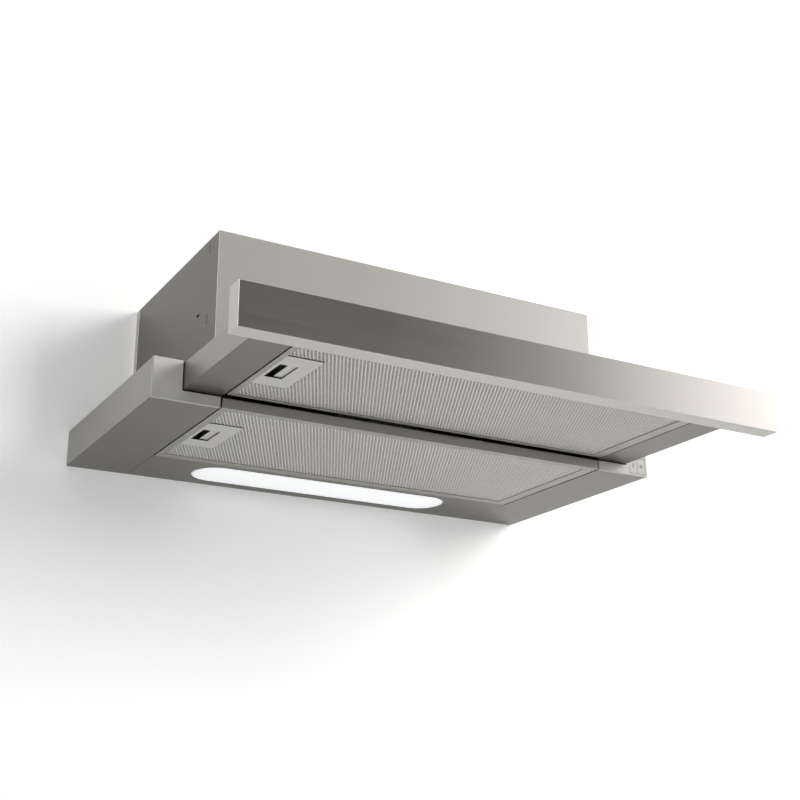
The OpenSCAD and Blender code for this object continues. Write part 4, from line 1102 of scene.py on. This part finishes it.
def strand_sheet(node, tray_node, s):
    """Expanded mesh: a lattice of lozenges, each opened and its strands tilted.

    The lattice keeps clear of the latch plate, the tray node."""
    lo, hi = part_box(node)
    tray_lo, tray_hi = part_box(tray_node)
    half_x, half_y = s.cell_width / 2, s.cell_length / 2
    count_x = math.ceil((hi.x - lo.x) / s.cell_width)
    count_y = math.ceil((hi.y - lo.y) / s.cell_length)
    count = count_x + count_y + 2
    bm = bmesh.new()
    bmesh.ops.create_grid(bm, x_segments=count, y_segments=count, size=count / 2)
    eighth = Matrix.Rotation(math.pi / 4, 3, "Z")
    bmesh.ops.rotate(bm, cent=(0, 0, 0), matrix=eighth, verts=bm.verts[:])
    half_diagonal = math.sqrt(0.5)
    lozenge = (half_x / half_diagonal, half_y / half_diagonal, 1)
    bmesh.ops.scale(bm, vec=lozenge, verts=bm.verts[:])
    bmesh.ops.translate(bm, vec=(lo + hi) / 2, verts=bm.verts[:])
    outside = []
    for face in bm.faces:
        xs = [v.co.x for v in face.verts]
        ys = [v.co.y for v in face.verts]
        beyond = (
            min(xs) < lo.x + MESH_MARGIN
            or max(xs) > hi.x - MESH_MARGIN
            or min(ys) < lo.y + MESH_MARGIN
            or max(ys) > hi.y - MESH_MARGIN
        )
        centre = face.calc_center_median()
        in_tray = tray_lo.x < centre.x < tray_hi.x and tray_lo.y < centre.y < tray_hi.y
        if beyond or in_tray:
            outside.append(face)
    bmesh.ops.delete(bm, geom=outside, context="FACES")
    cells = bm.faces[:]
    half_strand = s.strand_width / 2
    bmesh.ops.inset_individual(bm, faces=cells, thickness=half_strand, use_even_offset=True)
    for face in cells:
        centre = face.calc_center_median()
        for vertex in face.verts:
            vertex.co.z += s.strand_tilt * (vertex.co.y - centre.y) / half_y
    bmesh.ops.delete(bm, geom=cells, context="FACES_ONLY")
    bmesh.ops.solidify(bm, geom=bm.faces[:], thickness=(hi.z - lo.z) * STRAND_SHARE)
    bmesh.ops.recalc_face_normals(bm, faces=bm.faces[:])
    return bm


class HOOD_OT_filters(bpy.types.Operator):
    """Dresses the frames of the two grease filters, weaves their mesh and finishes their pads"""

    bl_idname = "hood.filters"
    bl_label = "Filters"

    def execute(self, context):
        s = context.scene.hood_sizes
        for side in ("lower", "upper"):
            frame_node, mesh_node = side + "_filter_frame", side + "_filter_mesh"
            dress(frame_node, side + "_frame_sheet", ["filter_frame"], fine_edges())
            bm = strand_sheet(mesh_node, side + "_latch_plate", s)
            stand_in(mesh_node, side + "_strands", bm, ["filter_strand"])
            paint("filter_wool", side + "_filter_pad")
        return {"FINISHED"}


def beside_tab(slider):
    """A test for faces of a latch slider that aren't on its finger tab."""
    lo, hi = box_in_mm(slider)
    return lambda centre, normal: centre.x < hi.x - TAB_REACH or centre.z > lo.z + TAB_DEPTH


class HOOD_OT_latches(bpy.types.Operator):
    """Dresses the filters' latches: plate with its finger cup, slider and spring"""

    bl_idname = "hood.latches"
    bl_label = "Latches"

    def execute(self, context):
        s = context.scene.hood_sizes
        finishes = ["latch_satin", "black_satin"]
        for side in ("lower", "upper"):
            plate, slider = side + "_latch_plate", side + "_latch_slider"
            lo, hi = box_in_mm(plate)
            corners = edges("z", x=[lo.x, hi.x], y=[lo.y, hi.y])
            tray = dress(
                plate,
                side + "_latch_tray",
                finishes,
                fold(s.plate_corner, corners, segments=4),
                fold(s.plate_radius, edges(z=[lo.z]), shortest=CORNER_FACET),
            )
            # The cup's inner walls get the black finish, which is painted shade
            second_finish(tray, above(lo.z + PLATE_FACE))
            tab_edges = fold(s.tab_radius, edges(), segments=2)
            tab = dress(slider, side + "_latch_tab", finishes, tab_edges)
            # The slider's faces beside its tab get the black finish, which is painted shade
            second_finish(tab, beside_tab(slider))
        paint("zinc_coated", "lower_latch_spring", "upper_latch_spring")
        return {"FINISHED"}


class HOOD_OT_slides(bpy.types.Operator):
    """Dresses the telescopic slides and the drawer's switch, and finishes its plunger"""

    bl_idname = "hood.slides"
    bl_label = "Slides"

    def execute(self, context):
        s = context.scene.hood_sizes
        for node in ("fixed_rails", "middle_rail_left", "middle_rail_right", "drawer_rails"):
            dress(node, node + "_rolled", ["zinc_coated"], fine_edges())
        case_edges = fold(s.tab_radius, edges(), segments=2)
        dress("drawer_switch", "drawer_switch_case", ["black_satin"], case_edges)
        paint("red_moulded", "switch_plunger")
        return {"FINISHED"}


class HOOD_OT_blower(bpy.types.Operator):
    """Finishes the blower, its motor and its housing"""

    bl_idname = "hood.blower"
    bl_label = "Blower"

    def execute(self, context):
        paint("zinc_coated", "impeller_disc", "impeller_cage", "motor_bracket", "motor_shaft")
        paint("motor_paint", "motor_body")
        paint("sintered_bronze", "motor_bearings")
        paint("rubber", "motor_bushes")
        paint("white_moulded", "volute_left", "volute_right", "outlet_adapter")
        return {"FINISHED"}


class HOOD_OT_duct(bpy.types.Operator):
    """Finishes the collar on the roof and its two flaps"""

    bl_idname = "hood.duct"
    bl_label = "Duct"

    def execute(self, context):
        paint("black_satin", "duct_collar", "flap_left", "flap_right")
        return {"FINISHED"}


class HOOD_OT_electrics(bpy.types.Operator):
    """Finishes the mains box, the capacitor and the cable gland"""

    bl_idname = "hood.electrics"
    bl_label = "Electrics"

    def execute(self, context):
        paint("black_satin", "power_box", "cable_gland")
        paint("white_moulded", "capacitor")
        return {"FINISHED"}


class HOOD_OT_screws(bpy.types.Operator):
    """Finishes the screws"""

    bl_idname = "hood.screws"
    bl_label = "Screws"

    def execute(self, context):
        paint("zinc_coated", "roof_screws", "motor_screws", "drawer_screws")
        return {"FINISHED"}


OPERATORS = (
    HOOD_OT_stage,
    HOOD_OT_casing,
    HOOD_OT_arms,
    HOOD_OT_caps,
    HOOD_OT_buttons,
    HOOD_OT_lamp,
    HOOD_OT_drawer,
    HOOD_OT_fascia,
    HOOD_OT_filters,
    HOOD_OT_latches,
    HOOD_OT_slides,
    HOOD_OT_blower,
    HOOD_OT_duct,
    HOOD_OT_electrics,
    HOOD_OT_screws,
)


class HOOD_PT_panel(bpy.types.Panel):
    """Lists the hood's operators, sizes, colours and light"""

    bl_idname = "HOOD_PT_panel"
    bl_label = "Range Hood"
    bl_space_type = "VIEW_3D"
    bl_region_type = "UI"
    bl_category = "Range Hood"

    def draw(self, context):
        for operator in OPERATORS:
            self.layout.operator(operator.bl_idname)
        for group in (
            context.scene.hood_sizes,
            context.scene.hood_colours,
            context.scene.hood_light,
        ):
            box = self.layout.box()
            for name in group.bl_rna.properties.keys():
                if name not in ("rna_type", "name"):
                    box.prop(group, name)


CLASSES = (HoodSizes, HoodColours, HoodLight, *OPERATORS, HOOD_PT_panel)


def register():
    """Registers the classes and hangs the three groups on the scene."""
    for each in CLASSES:
        bpy.utils.register_class(each)
    bpy.types.Scene.hood_sizes = PointerProperty(type=HoodSizes)
    bpy.types.Scene.hood_colours = PointerProperty(type=HoodColours)
    bpy.types.Scene.hood_light = PointerProperty(type=HoodLight)


def unregister():
    """Takes back what register has done."""
    del bpy.types.Scene.hood_light
    del bpy.types.Scene.hood_colours
    del bpy.types.Scene.hood_sizes
    for each in reversed(CLASSES):
        bpy.utils.unregister_class(each)


def main():
    """Dresses the frame piece by piece."""
    register()
    bpy.ops.hood.stage()
    bpy.ops.hood.casing()
    bpy.ops.hood.arms()
    bpy.ops.hood.caps()
    bpy.ops.hood.buttons()
    bpy.ops.hood.lamp()
    bpy.ops.hood.drawer()
    bpy.ops.hood.fascia()
    bpy.ops.hood.filters()
    bpy.ops.hood.latches()
    bpy.ops.hood.slides()
    bpy.ops.hood.blower()
    bpy.ops.hood.duct()
    bpy.ops.hood.electrics()
    bpy.ops.hood.screws()


if __name__ == "__main__":
    main()
